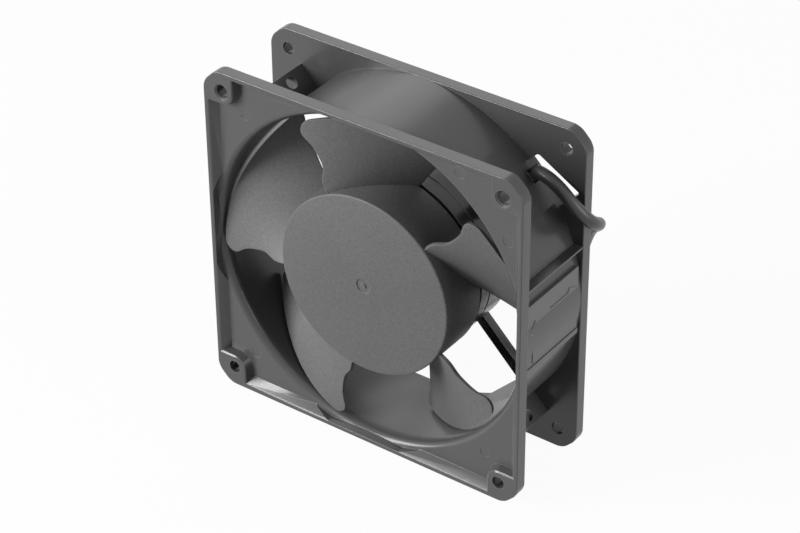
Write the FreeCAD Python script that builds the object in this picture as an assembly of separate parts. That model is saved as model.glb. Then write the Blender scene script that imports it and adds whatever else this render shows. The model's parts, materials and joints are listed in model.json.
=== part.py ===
import FreeCAD, Part
import math
import os

from FreeCAD import Placement, Rotation, Vector

# Axial cooling fan with two square flanges, an outside-rotor motor and a lead cable.
# Sizes are in millimetres. Shapes are made in fan coordinates: X right and Y up as seen from the
# inlet, Z along the fan's axis towards the inlet, with the origin in the middle of the fan.
# stand_up() then puts them in the part's frame: X right, Y from inlet to outlet, Z up, with the
# origin under the middle of the flanges. Depths of the cable's route are along that Y.

# Flanges
DEPTH = 38.0
FLANGE_PAST_DUCT = 0.2
FRONT_FLANGE_T = 4.5
REAR_FLANGE_T = 4.2
CORNER_CUT = 5.0
CORNER_BLEND_R = 3.0
RIM_W = 1.5
RECESS = 3.0
RECESS_SLOPE = 2.4
HOLE_FROM_EDGE = 7.1
HOLE_R = 2.2
PAD_REACH = 4.2
PAD_CORNER_R = 4.6
PAD_DRAFT = 0.8

# Duct
DUCT_R = 59.3
BORE_WALL = 2.5
MOUTH_WALL = 0.9
BELL_DEPTH = 3.5
BELL_BULGE = 0.45
OUTLET_WALL = 1.1
FLARE_DEPTH = 11.5
FLAT_SET_IN = 1.2
FACET_WALL = 3.5
FACET_DEPTH = 10.0
WEB_T = 2.0
WEB_REACH = 9.7
WEB_HOLE_R = 2.15
WEB_HOLE_FROM_EDGE = 3.4
WEB_HOLE_DEPTH = 25.6
WEB_CORNERS = (135.0, 225.0, 315.0)

# Rating pad, lip and rib on the duct's right side
PAD_SET_IN = 0.3
PAD_LOW = -8.9
PAD_HIGH = 13.7
PAD_END_GAP = 1.3
LIP_H = 2.2
LIP_PROUD = 0.3
RIB_T = 0.8
RIB_GAP = 5.5
SIDE_ROOT_DEPTH = 5.0

# Motor base and struts
BASE_R = 31.0
BASE_H = 12.5
BASE_WALL = 1.8
BASE_FLOOR = 2.0
BASE_EDGE_R = 1.0
BOSS_WALL = 1.8
BOSS_H = 9.5
STRUT_SET_IN = 0.2
STRUT_H = 3.3
STRUT_THIN_WALL = 0.8
STRUT_GROOVE_W = 1.4
STRUT_GROOVE_DEPTH = 1.9
STRUT_LAND_W = 1.0
STRUT_SLOPE_W = 1.6
STRUT_SLOPE_H = 1.4
STRUT_LEAN = 1.1
STRUT_ANGLES = (135.0, 225.0, 315.0)

# Lead cable and its way out of the housing
CABLE_R = 2.1
CABLE_EASE = 0.15
CABLE_STRUT_ANGLE = 45.0
CABLE_STRUT_WALL = 0.9
CABLE_STRUT_FLOOR = 1.0
CABLE_STRUT_ACROSS = 1.3
CABLE_INNER_END_TO_WALL = 2.7
CABLE_EXIT_TO_FACET = 3.6
WINDOW_FRONT_DEPTH = 7.5
WINDOW_LEFT = -3.4
WINDOW_RIGHT = 5.2
SLOT_LEFT_TOP = 5.3
SLOT_RIGHT = 13.5
SLOT_RIGHT_TOP = 9.8
SLOT_FOOT = 2.3
SLOT_CORNER_R = 0.8
CORE_R = 0.75
CORE_APART = 1.8
CORE_BARE_LENGTH = 10.0
TIP_R = 0.4
TIP_LENGTH = 5.0
LEAD_R = 0.7

# Impeller
HUB_R = 31.8
HUB_FRONT_Z = 17.5
HUB_REAR_Z = -2.0
HUB_WALL = 1.7
HUB_FACE_T = 1.8
HUB_EDGE_R = 0.5
GATE_R = 2.6
GATE_DEPTH = 0.25
GATE_NUB_R = 0.9
BLADES = 5
TIP_CLEARANCE = 0.8
BLADE_ROOT_SINK = 0.8
BLADE_Z = 16.5
FIRST_BLADE_ANGLE = 187.0
TRAILING_HUB = 41.0
TRAILING_MID = 44.5
TRAILING_TIP = 52.0
TRAILING_POWER = 1.3
HUB_SWEEP = (0.30, 0.0030)
TIP_SWEEP = (0.10, 0.0059)
BLADE_HUB_T = 2.1
BLADE_TIP_T = 1.5
BLADE_EDGE_SHARE = 0.6
LEADING_CORNER_R = 2.8
TRAILING_CORNER_R = 3.2
LEADING_CORNER_SHARE = 0.12
TRAILING_CORNER_SHARE = 0.135

# Places along a blade, as shares of the way from hub to tip. LEADING_WAVE gives each of its
# places the leading edge's angle there.
LEADING_WAVE = ((0.0, 1.0), (0.165, 0.8), (0.335, -1.9), (0.5, -1.9), (0.665, -0.9), (0.835, 1.3))
TRAILING_MID_SHARE = 0.504
TRAILING_SHARES = (0.835, 0.669, TRAILING_MID_SHARE, 0.256, 0.0)
SECTION_SHARES = (-0.24, 0.01, 0.256, 0.504, 0.752, 1.041)
SECTION_HALF_ANGLE = 32.9
SECTION_STEPS = 4

# Shaft and bearings
SHAFT_R = 2.5
BEARING_R = 6.5
BEARING_W = 4.0
INNER_RACE_R = 3.85
OUTER_RACE_R = 5.15
BALL_R = 0.95
BALLS = 7
RACE_EASE = 0.11
TUBE_R = 8.0
TUBE_SHOULDER_R = 5.7
TUBE_TOP_Z = 9.6
TUBE_LIP = 0.2
REAR_BEARING_Z = -13.5
DISC_SPRING_H = 0.6
DISC_SPRING_T = 0.25
INSERT_R = 5.0
INSERT_H = 5.4
INSERT_BOSS_WALL = 2.4
WASHER_R = 4.0
WASHER_T = 0.5
WASHER_EASE = 0.05
CLIP_R = 4.3
CLIP_T = 0.6
CLIP_GROOVE_R = 2.0
CLIP_OPENING = 80.0
SHAFT_TAIL = 1.6

# Motor
STACK_Z = -2.0
STACK_H = 14.0
ROTOR_IN_R = 24.5
AIR_GAP = 0.3
CAGE_BARS = 13
CAGE_BAR_R = 1.1
CAGE_BAR_FROM_GAP = 2.3
CAGE_RING_H = 3.0
CAGE_RING_IN_R = 25.0
CAGE_RING_OUT_R = 29.2
POLES = 4
YOKE_R = 12.5
NECK_W = 9.0
SHOE_T = 3.7
SLOT_OPENING = 3.2
SHADING_FROM = 15.5
SHADING_W = 3.4
SHADING_SLOT_DEPTH = 2.3
SHADING_T = 1.2
SHADING_EASE = 0.25
INSULATOR_T = 0.9
INSULATOR_EDGE = 0.8
INSULATOR_EASE = 0.2
FENCE_T = 1.1
FENCE_H = 2.4
FENCE_ANGLE = 17.0
COIL_T = 2.3
COIL_SIDE_T = 3.3
COIL_EASE = 0.1
COIL_CORNER_R = 2.0
COIL_GAP = 0.3
POST_R = 1.1
POST_CIRCLE_R = 11.0
POST_H = 3.7
BOARD_T = 1.0
BOARD_IN_R = 8.5
BOARD_OUT_R = 19.5
BOARD_ARC = 230.0

# Free cable: points of its route in the part's frame, chosen by hand. It comes out of the
# window in the duct, passes over the rear flange's right edge, falls to the floor behind the
# fan and lies there.
FREE_ROUTE = (
    (43.6, 12.6, 102.2),
    (51.0, 10.6, 101.4),
    (58.0, 10.4, 97.2),
    (63.4, 14.8, 91.4),
    (63.0, 24.4, 84.6),
    (54.6, 31.2, 75.5),
    (47.6, 32.0, 60.0),
    (44.4, 31.6, 40.0),
    (42.8, 31.6, 22.0),
    (41.2, 34.4, 8.6),
    (38.0, 40.6, 2.3),
    (30.6, 50.6, 2.2),
    (22.0, 60.4, 2.2),
    (14.2, 71.4, 2.2),
    (2.0, 80.0, 2.2),
    (-12.6, 82.2, 2.2),
    (-26.4, 77.4, 2.2),
    (-38.2, 68.8, 2.2),
    (-44.0, 55.0, 2.2),
    (-43.0, 44.5, 2.2),
    (-34.2, 38.2, 2.2),
)

FLANGE = 2 * (DUCT_R + FLANGE_PAST_DUCT)
HOLE_SPACING = FLANGE - 2 * HOLE_FROM_EDGE
BORE_R = DUCT_R - BORE_WALL
MOUTH_R = DUCT_R - MOUTH_WALL
OUTLET_R = DUCT_R - OUTLET_WALL
FLAT_FROM_AXIS = DUCT_R - FLAT_SET_IN
FACET_FROM_AXIS = FLAT_FROM_AXIS - FACET_WALL
WEB_FROM_AXIS = FLAT_FROM_AXIS + WEB_REACH
PAD_FACE_X = DUCT_R - PAD_SET_IN
SIDE_ROOT_X = PAD_FACE_X - SIDE_ROOT_DEPTH
CABLE_INNER_END = BASE_R - BASE_WALL - CABLE_INNER_END_TO_WALL
CABLE_EXIT = FACET_FROM_AXIS - CABLE_EXIT_TO_FACET
BLADE_TIP_R = BORE_R - TIP_CLEARANCE
FRONT_Z = DEPTH / 2
REAR_Z = -DEPTH / 2
AXIS_HEIGHT = FLANGE / 2
RECESS_Z = FRONT_Z - RECESS
FRONT_BACK_Z = FRONT_Z - FRONT_FLANGE_T
REAR_FACE_Z = REAR_Z + REAR_FLANGE_T
BASE_FLOOR_Z = REAR_Z + BASE_FLOOR
STACK_TOP_Z = STACK_Z + STACK_H
STATOR_R = ROTOR_IN_R - AIR_GAP
ROTOR_OUT_R = HUB_R - HUB_WALL
BALL_CIRCLE_R = (INNER_RACE_R + OUTER_RACE_R) / 2
FRONT_BEARING_Z = TUBE_TOP_Z - TUBE_LIP - BEARING_W
HUB_CEILING_Z = HUB_FRONT_Z - HUB_FACE_T
STRUT_Z = REAR_Z + STRUT_SET_IN
CABLE_CHANNEL_W = 2 * (CABLE_R + CABLE_EASE)
CABLE_Z = STRUT_Z + CABLE_STRUT_FLOOR + CABLE_R
CABLE_STRUT_H = CABLE_STRUT_FLOOR + 2 * CABLE_R
COIL_FROM = YOKE_R + COIL_GAP
COIL_TO = (STATOR_R - SHOE_T - FENCE_T) * math.cos(math.radians(FENCE_ANGLE)) - COIL_GAP
PASS = 1.0
FULL_TURN = 360.0
QUARTER_TURN = FULL_TURN / 4
EIGHTH_TURN = FULL_TURN / 8
SAME_PLACE = 0.01
SAME_POINT = 1e-6
ROUNDED_SHARE = 0.45


def disc(radius, low, high):
    return Part.makeCylinder(radius, high - low, Vector(0, 0, low))


def ring(inner, outer, low, high):
    return disc(outer, low, high).cut(disc(inner, low - PASS, high + PASS))


def block(x_range, y_range, z_range):
    size = [high - low for low, high in (x_range, y_range, z_range)]
    return Part.makeBox(*size, Vector(x_range[0], y_range[0], z_range[0]))


def turned(shape, degrees):
    """Copy of a shape turned about the fan's axis, anticlockwise as seen from the inlet."""
    copy = shape.copy()
    copy.rotate(Vector(0, 0, 0), Vector(0, 0, 1), degrees)
    return copy


def polar(radius, degrees, z=0.0):
    angle = math.radians(degrees)
    return Vector(radius * math.cos(angle), radius * math.sin(angle), z)


def sector(inner, outer, start, end, low, high):
    """Piece of a ring between two angles in degrees."""
    corners = [Vector(inner, 0, low), Vector(outer, 0, low), Vector(outer, 0, high), Vector(inner, 0, high)]
    face = Part.Face(Part.makePolygon(corners + corners[:1]))
    solid = face.revolve(Vector(0, 0, 0), Vector(0, 0, 1), end - start)
    return turned(solid, start)


def rounded_wire(points, radii, z=0.0):
    """Closed outline at a height z, its corners rounded to the given radii, 0 for a sharp one."""
    corners = []
    for index, (x, y) in enumerate(points):
        here = Vector(x, y, z)
        before = (Vector(*points[index - 1], z) - here).normalize()
        after = (Vector(*points[(index + 1) % len(points)], z) - here).normalize()
        radius = radii[index]
        if radius == 0:
            corners.append((here, None, here))
            continue
        half = before.getAngle(after) / 2
        reach = radius / math.tan(half)
        centre = here + (before + after).normalize() * (radius / math.sin(half))
        middle = centre + (here - centre).normalize() * radius
        corners.append((here + before * reach, middle, here + after * reach))
    edges = []
    for index, (start, middle, end) in enumerate(corners):
        if middle is not None:
            edges.append(Part.Arc(start, middle, end).toShape())
        following = corners[(index + 1) % len(corners)][0]
        if (following - end).Length > SAME_POINT:
            edges.append(Part.makeLine(end, following))
    return Part.Wire(edges)


def prism(points, radii, low, high):
    face = Part.Face(rounded_wire(points, radii, low))
    return face.extrude(Vector(0, 0, high - low))


def lathe(points):
    """Solid of revolution about the axis. A point is (r, z), or (r, z, r, z) for an arc through the first."""
    start = Vector(points[0][0], 0, points[0][1])
    edges = []
    here = start
    for point in points[1:]:
        end = Vector(point[-2], 0, point[-1])
        if len(point) == 4:
            edges.append(Part.Arc(here, Vector(point[0], 0, point[1]), end).toShape())
        else:
            edges.append(Part.makeLine(here, end))
        here = end
    edges.append(Part.makeLine(here, start))
    return Part.Face(Part.Wire(edges)).revolve(Vector(0, 0, 0), Vector(0, 0, 1), FULL_TURN)


def fused(shapes):
    return shapes[0].fuse(shapes[1:]).removeSplitter()


def square(half):
    return [(-half, -half), (half, -half), (half, half), (-half, half)]


def corner_places():
    half = HOLE_SPACING / 2
    return [(x, y) for x in (-half, half) for y in (-half, half)]


def flange_plate(low, high):
    half = FLANGE / 2
    near = half - CORNER_CUT
    points = [(near, -half), (half, -near), (half, near), (near, half),
              (-near, half), (-half, near), (-half, -near), (-near, -half)]
    return prism(points, [CORNER_BLEND_R] * len(points), low, high)


def corner_pad():
    """Drafted screw pad of the front flange, at the upper right corner, over-long at both ends."""
    wires = []
    for z in (RECESS_Z - PASS, FRONT_Z + PASS):
        inner = HOLE_SPACING / 2 - PAD_REACH - PAD_DRAFT * (FRONT_Z - z) / RECESS
        points = [(inner, inner), (FLANGE, inner), (FLANGE, FLANGE), (inner, FLANGE)]
        wires.append(rounded_wire(points, [PAD_CORNER_R, 0, 0, 0], z))
    return Part.makeLoft(wires, True, True)


def front_recess():
    """Shallow recess of the front flange: sloped walls inside the rim, and the four screw pads left standing."""
    wires = []
    for z in (RECESS_Z, FRONT_Z + PASS):
        half = FLANGE / 2 - RIM_W - RECESS_SLOPE * (FRONT_Z - z) / RECESS
        wires.append(rounded_wire(square(half), [PAD_CORNER_R] * 4, z))
    pad = corner_pad()
    return Part.makeLoft(wires, True, True).cut([turned(pad, QUARTER_TURN * quarter) for quarter in range(4)])


def air_passage():
    """Bell mouth, bore and flared outlet, flattened where the struts' feet stand."""
    bell_z = RECESS_Z - BELL_DEPTH
    flare_z = REAR_Z + FLARE_DEPTH
    flare_per_mm = (OUTLET_R - BORE_R) / FLARE_DEPTH
    bell_mid = (BORE_R + (MOUTH_R - BORE_R) * (1 - BELL_BULGE) / 2, bell_z + BELL_DEPTH / 2)
    passage = lathe([
        (0, REAR_Z - PASS), (OUTLET_R + PASS * flare_per_mm, REAR_Z - PASS), (BORE_R, flare_z), (BORE_R, bell_z),
        (*bell_mid, MOUTH_R, RECESS_Z), (MOUTH_R, FRONT_Z + PASS), (0, FRONT_Z + PASS)])
    inside = FLANGE / 2 - RIM_W
    passage = passage.common(block((-inside, inside), (-inside, inside), (REAR_Z - PASS, FRONT_Z + PASS)))
    slope = (BORE_R - FACET_FROM_AXIS) / FACET_DEPTH
    aside = -BORE_R / 2
    wedge = [Vector(BORE_R, aside, REAR_Z + FACET_DEPTH),
             Vector(FACET_FROM_AXIS - PASS * slope, aside, REAR_Z - PASS),
             Vector(FLANGE, aside, REAR_Z - PASS), Vector(FLANGE, aside, REAR_Z + FACET_DEPTH)]
    facet = Part.Face(Part.makePolygon(wedge + wedge[:1])).extrude(Vector(0, -2 * aside, 0))
    return passage.cut([turned(facet, EIGHTH_TURN + QUARTER_TURN * quarter) for quarter in range(4)])


def duct_wall():
    """Round duct between the flanges, with a flat towards each corner."""
    low, high = REAR_FACE_Z, FRONT_BACK_Z
    flats = prism(square(FLAT_FROM_AXIS), [0] * 4, low, high)
    return disc(DUCT_R, low, high).common(turned(flats, EIGHTH_TURN))


def corner_web(angle):
    """Thin web from the duct's flat towards a corner, with a hole for an earth screw."""
    web = block((FLAT_FROM_AXIS, WEB_FROM_AXIS), (-WEB_T / 2, WEB_T / 2), (REAR_FACE_Z, FRONT_BACK_Z))
    place = Vector(WEB_FROM_AXIS - WEB_HOLE_FROM_EDGE, -WEB_T, FRONT_Z - WEB_HOLE_DEPTH)
    hole = Part.makeCylinder(WEB_HOLE_R, 2 * WEB_T, place, Vector(0, 1, 0))
    return turned(web.cut(hole), angle)


def side_details():
    """Rating pad with a lip along its lower edge, and the thin rib above it."""
    rear = REAR_FACE_Z + PAD_END_GAP
    front = FRONT_BACK_Z
    plate = block((SIDE_ROOT_X, PAD_FACE_X), (PAD_LOW - LIP_H, PAD_HIGH), (rear, front))
    lip = block((SIDE_ROOT_X, PAD_FACE_X + LIP_PROUD), (PAD_LOW - LIP_H, PAD_LOW), (rear, front))
    rib_low = PAD_HIGH + RIB_GAP
    rib = block((SIDE_ROOT_X - PASS, PAD_FACE_X + LIP_PROUD), (rib_low, rib_low + RIB_T), (REAR_FACE_Z, front))
    return [plate, lip, rib]


def base_dish():
    """Dish that carries the stator, with the socket of the bearing tube in its middle."""
    inner = BASE_R - BASE_WALL
    boss = TUBE_R + BOSS_WALL
    rim_z = REAR_Z + BASE_H
    edge = BASE_EDGE_R * (1 - math.sqrt(0.5))
    return lathe([
        (TUBE_R, REAR_Z), (BASE_R - BASE_EDGE_R, REAR_Z),
        (BASE_R - edge, REAR_Z + edge, BASE_R, REAR_Z + BASE_EDGE_R), (BASE_R, rim_z), (inner, rim_z),
        (inner, BASE_FLOOR_Z), (boss, BASE_FLOOR_Z), (boss, REAR_Z + BOSS_H), (TUBE_R, REAR_Z + BOSS_H)])


def along_spoke(profile, inner, outer, angle):
    """Bar along a spoke. The profile's points are (across, z), across running anticlockwise."""
    face = Part.Face(Part.makePolygon([Vector(inner, c, z) for c, z in profile + profile[:1]]))
    return turned(face.extrude(Vector(outer - inner, 0, 0)), angle)


def strut(angle):
    """Channel-shaped strut: a thin wall, a groove open to the inlet, and a wide wall that slopes off."""
    top = STRUT_Z + STRUT_H
    right = STRUT_LEAN
    groove = right - STRUT_THIN_WALL
    land = groove - STRUT_GROOVE_W
    slope = land - STRUT_LAND_W
    left = slope - STRUT_SLOPE_W
    profile = [(right, STRUT_Z), (right, top), (groove, top), (groove, top - STRUT_GROOVE_DEPTH),
               (land, top - STRUT_GROOVE_DEPTH), (land, top), (slope, top), (left, top - STRUT_SLOPE_H),
               (left, STRUT_Z)]
    return along_spoke(profile, BASE_R - BASE_WALL / 2, BORE_R, angle)


def cable_strut():
    """Wider strut, a trough that holds the lead cable on its way to the corner."""
    half = CABLE_CHANNEL_W / 2 + CABLE_STRUT_WALL
    low, high = -CABLE_STRUT_ACROSS - half, -CABLE_STRUT_ACROSS + half
    profile = [(low, STRUT_Z), (high, STRUT_Z), (high, STRUT_Z + CABLE_STRUT_H), (low, STRUT_Z + CABLE_STRUT_H)]
    return along_spoke(profile, BASE_R - BASE_WALL / 2, BORE_R, CABLE_STRUT_ANGLE)


def cable_cuts():
    """Trough for the cable, hole in the base's wall, window in the duct and slot in the rear flange."""
    half = CABLE_CHANNEL_W / 2
    low, high = -CABLE_STRUT_ACROSS - half, -CABLE_STRUT_ACROSS + half
    floor = STRUT_Z + CABLE_STRUT_FLOOR
    inner = CABLE_INNER_END
    trough = block((inner, FLAT_FROM_AXIS + PASS), (low, high), (floor, floor + CABLE_STRUT_H))
    window = block((FACET_FROM_AXIS - PASS, FLAT_FROM_AXIS + PASS), (-WINDOW_RIGHT, -WINDOW_LEFT),
                   (floor, REAR_Z + WINDOW_FRONT_DEPTH))
    slot = prism([(FLAT_FROM_AXIS - PASS / 2, -WINDOW_LEFT), (FLAT_FROM_AXIS - PASS / 2, -WINDOW_RIGHT),
                  (FLAT_FROM_AXIS + SLOT_FOOT, -WINDOW_RIGHT), (FLAT_FROM_AXIS + SLOT_FOOT, -SLOT_RIGHT),
                  (FLAT_FROM_AXIS + SLOT_RIGHT_TOP, -SLOT_RIGHT), (FLAT_FROM_AXIS + SLOT_LEFT_TOP, -WINDOW_LEFT)],
                 [0, 0, SLOT_CORNER_R, SLOT_CORNER_R, SLOT_CORNER_R, SLOT_CORNER_R],
                 REAR_Z - PASS, REAR_FACE_Z + PASS)
    return [turned(cut, CABLE_STRUT_ANGLE) for cut in (trough, window, slot)]


def screw_holes():
    return [Part.makeCylinder(HOLE_R, DEPTH + 2 * PASS, Vector(x, y, REAR_Z - PASS)) for x, y in corner_places()]


def front_flange():
    return flange_plate(FRONT_BACK_Z, FRONT_Z).cut([front_recess(), air_passage()] + screw_holes())


def rear_flange():
    return flange_plate(REAR_Z, REAR_FACE_Z).cut([air_passage()] + cable_cuts() + screw_holes())


def air_duct():
    """Duct between the flanges, with the rating pad, its lip and the rib on its right side."""
    duct = fused([duct_wall()] + side_details())
    return duct.cut([air_passage()] + cable_cuts())


def motor_base():
    """Dish, struts and cable trough, the struts trimmed where they meet the flats of the air passage."""
    spider = fused([base_dish(), cable_strut()] + [strut(angle) for angle in STRUT_ANGLES])
    inside = air_passage()
    return spider.common(inside).cut(cable_cuts()).removeSplitter()


def corner_webs():
    return Part.makeCompound([corner_web(angle) for angle in WEB_CORNERS])


def along_blade(share):
    """Distance from the axis at a share of the way from the hub to the blade's tip."""
    return HUB_R + (BLADE_TIP_R - HUB_R) * share


def blade_share(radius):
    return (radius - HUB_R) / (BLADE_TIP_R - HUB_R)


def sweep_value(radius, degrees_behind):
    """Depth of a blade's front face behind its leading edge, at a radius and an angle behind that edge."""
    share = blade_share(radius)
    first = HUB_SWEEP[0] + (TIP_SWEEP[0] - HUB_SWEEP[0]) * share
    second = HUB_SWEEP[1] + (TIP_SWEEP[1] - HUB_SWEEP[1]) * share
    depth = first * degrees_behind + second * degrees_behind ** 2
    slope = math.degrees(first + 2 * second * degrees_behind) / radius
    return depth, slope


def trailing_angle(radius):
    """Angle of the trailing edge behind the leading one, through its three measured places."""
    share = blade_share(radius)
    if share < TRAILING_MID_SHARE:
        return TRAILING_HUB + (TRAILING_MID - TRAILING_HUB) * share / TRAILING_MID_SHARE
    beyond = (share - TRAILING_MID_SHARE) / (1 - TRAILING_MID_SHARE)
    return TRAILING_MID + (TRAILING_TIP - TRAILING_MID) * beyond ** TRAILING_POWER


def blade_slab():
    """Twisted slab of the blade's thickness, lofted through sections square to its middle spoke."""
    middle = TRAILING_TIP / 2
    pitch = BLADE_TIP_R * math.sin(math.radians(SECTION_HALF_ANGLE)) / SECTION_STEPS
    wires = []
    for reach in [along_blade(share) for share in SECTION_SHARES]:
        front, back = [], []
        for step in range(-SECTION_STEPS, SECTION_STEPS + 1):
            across = step * pitch
            radius = math.hypot(reach, across)
            behind = middle - math.degrees(math.atan2(across, reach))
            depth, slope = sweep_value(radius, behind)
            share = min(max(behind / trailing_angle(min(radius, BLADE_TIP_R)), 0.0), 1.0)
            full = BLADE_HUB_T + (BLADE_TIP_T - BLADE_HUB_T) * blade_share(radius)
            thickness = full * (BLADE_EDGE_SHARE + (1 - BLADE_EDGE_SHARE) * math.sqrt(math.sin(math.pi * share)))
            front.append(Vector(reach, across, BLADE_Z - depth))
            back.append(Vector(reach, across, BLADE_Z - depth - thickness * math.hypot(1, slope)))
        curves = []
        for points in (front, back[::-1]):
            spline = Part.BSplineCurve()
            spline.interpolate(points)
            curves.append(spline.toShape())
        sides = [Part.makeLine(front[-1], back[-1]), Part.makeLine(back[0], front[0])]
        wires.append(Part.Wire([curves[0], sides[0], curves[1], sides[1]]))
    return turned(Part.makeLoft(wires, True, False), -middle)


def blade_outline():
    """Prism of the blade as seen along the axis: wavy leading edge, tip arc and trailing edge."""
    root_r = HUB_R - BLADE_ROOT_SINK
    leading = [polar(root_r, LEADING_WAVE[0][1])] + [polar(along_blade(s), wave) for s, wave in LEADING_WAVE]
    leading.append(polar(BLADE_TIP_R, 0))
    trailing_radii = [BLADE_TIP_R] + [along_blade(share) for share in TRAILING_SHARES] + [root_r]
    trailing = [polar(radius, -trailing_angle(radius)) for radius in trailing_radii]
    front_edge = Part.BSplineCurve()
    front_edge.interpolate(leading)
    rear_edge = Part.BSplineCurve()
    rear_edge.interpolate(trailing)
    tip = Part.Arc(leading[-1], polar(BLADE_TIP_R, -TRAILING_TIP / 2), trailing[0])
    root = Part.Arc(trailing[-1], polar(root_r, -TRAILING_HUB / 2), leading[0])
    edges = [front_edge.toShape(), tip.toShape(), rear_edge.toShape(), root.toShape()]
    solid = Part.Face(Part.Wire(edges)).extrude(Vector(0, 0, DEPTH))
    solid.translate(Vector(0, 0, REAR_Z))
    length = BLADE_TIP_R - HUB_R
    leading_r = min(LEADING_CORNER_R, LEADING_CORNER_SHARE * length)
    trailing_r = min(TRAILING_CORNER_R, TRAILING_CORNER_SHARE * length)
    for corner, radius in ((leading[-1], leading_r), (trailing[0], trailing_r)):
        uprights = [edge for edge in solid.Edges
                    if all((Vector(v.X, v.Y, 0) - corner).Length < SAME_PLACE for v in edge.Vertexes)]
        solid = solid.makeFillet(radius, uprights)
    return solid


def impeller():
    """Hub cup and five blades, moulded in one piece."""
    cup_in = HUB_R - HUB_WALL
    boss_r = INSERT_R + INSERT_BOSS_WALL
    boss_z = HUB_CEILING_Z - INSERT_H
    edge = HUB_EDGE_R * (1 - math.sqrt(0.5))
    cup = lathe([
        (0, HUB_CEILING_Z), (INSERT_R, HUB_CEILING_Z), (INSERT_R, boss_z), (boss_r, boss_z), (boss_r, HUB_CEILING_Z),
        (cup_in, HUB_CEILING_Z), (cup_in, HUB_REAR_Z), (HUB_R, HUB_REAR_Z), (HUB_R, HUB_FRONT_Z - HUB_EDGE_R),
        (HUB_R - edge, HUB_FRONT_Z - edge, HUB_R - HUB_EDGE_R, HUB_FRONT_Z), (0, HUB_FRONT_Z)])
    cup = cup.cut(ring(GATE_NUB_R, GATE_R, HUB_FRONT_Z - GATE_DEPTH, HUB_FRONT_Z + PASS))
    blade = blade_slab().common(blade_outline())
    pitch = FULL_TURN / BLADES
    return fused([cup] + [turned(blade, FIRST_BLADE_ANGLE + pitch * index) for index in range(BLADES)])


def shaft_insert():
    return ring(SHAFT_R, INSERT_R, HUB_CEILING_Z - INSERT_H, HUB_CEILING_Z)


def rotor_shaft():
    washer_z = REAR_BEARING_Z - WASHER_T
    clip_z = washer_z - CLIP_T
    shaft = disc(SHAFT_R, clip_z - SHAFT_TAIL, HUB_CEILING_Z)
    return shaft.cut(ring(CLIP_GROOVE_R, SHAFT_R + PASS, clip_z, washer_z))


def thrust_washer():
    return ring(SHAFT_R + WASHER_EASE, WASHER_R, REAR_BEARING_Z - WASHER_T, REAR_BEARING_Z)


def retaining_clip():
    clip_z = REAR_BEARING_Z - WASHER_T - CLIP_T
    return sector(CLIP_GROOVE_R, CLIP_R, CLIP_OPENING / 2, FULL_TURN - CLIP_OPENING / 2, clip_z, clip_z + CLIP_T)


def bearing_tube():
    """Tube that carries both bearings, with an inner shoulder between them."""
    spring_seat = REAR_BEARING_Z + BEARING_W + DISC_SPRING_H
    return lathe([
        (BEARING_R, REAR_Z + BASE_FLOOR / 2), (TUBE_R, REAR_Z + BASE_FLOOR / 2), (TUBE_R, TUBE_TOP_Z),
        (BEARING_R, TUBE_TOP_Z), (BEARING_R, FRONT_BEARING_Z), (TUBE_SHOULDER_R, FRONT_BEARING_Z),
        (TUBE_SHOULDER_R, spring_seat), (BEARING_R, spring_seat)])


def disc_spring():
    """Slightly conical washer that presses the rear bearing back and takes up the play."""
    low = REAR_BEARING_Z + BEARING_W
    high = low + DISC_SPRING_H
    inner = OUTER_RACE_R + RACE_EASE
    outer = BEARING_R - RACE_EASE
    return lathe([(outer, low), (outer, low + DISC_SPRING_T), (inner, high), (inner, high - DISC_SPRING_T)])


def race(inner, outer, low):
    groove = Part.makeTorus(BALL_CIRCLE_R, BALL_R + RACE_EASE, Vector(0, 0, low + BEARING_W / 2))
    return ring(inner, outer, low, low + BEARING_W).cut(groove)


def balls(low):
    places = [polar(BALL_CIRCLE_R, FULL_TURN * index / BALLS, low + BEARING_W / 2) for index in range(BALLS)]
    return Part.makeCompound([Part.makeSphere(BALL_R, place) for place in places])


def rotor_core():
    """Laminated ring pressed into the hub cup, with a hole for each bar of the cage."""
    bars = [Part.makeCylinder(CAGE_BAR_R, STACK_H + 2 * PASS, place) for place in bar_places(STACK_Z - PASS)]
    return ring(ROTOR_IN_R, ROTOR_OUT_R, STACK_Z, STACK_TOP_Z).cut(bars)


def bar_places(z):
    return [polar(ROTOR_IN_R + CAGE_BAR_FROM_GAP, FULL_TURN * index / CAGE_BARS, z) for index in range(CAGE_BARS)]


def rotor_cage():
    """Cast cage: two end rings joined by the bars."""
    bars = [Part.makeCylinder(CAGE_BAR_R, STACK_H + 2 * PASS, place) for place in bar_places(STACK_Z - PASS)]
    ends = [ring(CAGE_RING_IN_R, CAGE_RING_OUT_R, STACK_Z - CAGE_RING_H, STACK_Z),
            ring(CAGE_RING_IN_R, CAGE_RING_OUT_R, STACK_TOP_Z, STACK_TOP_Z + CAGE_RING_H)]
    return fused(ends + bars)


def pole_angles():
    return [FULL_TURN * index / POLES for index in range(POLES)]


def necks(half_width, reach, low, high):
    bar = block((0, reach), (-half_width, half_width), (low, high))
    return [turned(bar, angle) for angle in pole_angles()]


def stator_core():
    """Laminated core with four shaded poles, pressed on the bearing tube."""
    low, high = STACK_Z - PASS, STACK_TOP_Z + PASS
    slots = ring(YOKE_R, STATOR_R - SHOE_T, low, high).cut(necks(NECK_W / 2, STATOR_R, low - PASS, high + PASS))
    opening = block((YOKE_R, STATOR_R + PASS), (-SLOT_OPENING / 2, SLOT_OPENING / 2), (low, high))
    openings = [turned(opening, angle + FULL_TURN / POLES / 2) for angle in pole_angles()]
    shading = [sector(STATOR_R - SHADING_SLOT_DEPTH, STATOR_R + PASS, angle + SHADING_FROM,
                      angle + SHADING_FROM + SHADING_W, low, high) for angle in pole_angles()]
    return ring(TUBE_R, STATOR_R, STACK_Z, STACK_TOP_Z).cut([slots] + openings + shading)


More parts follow.
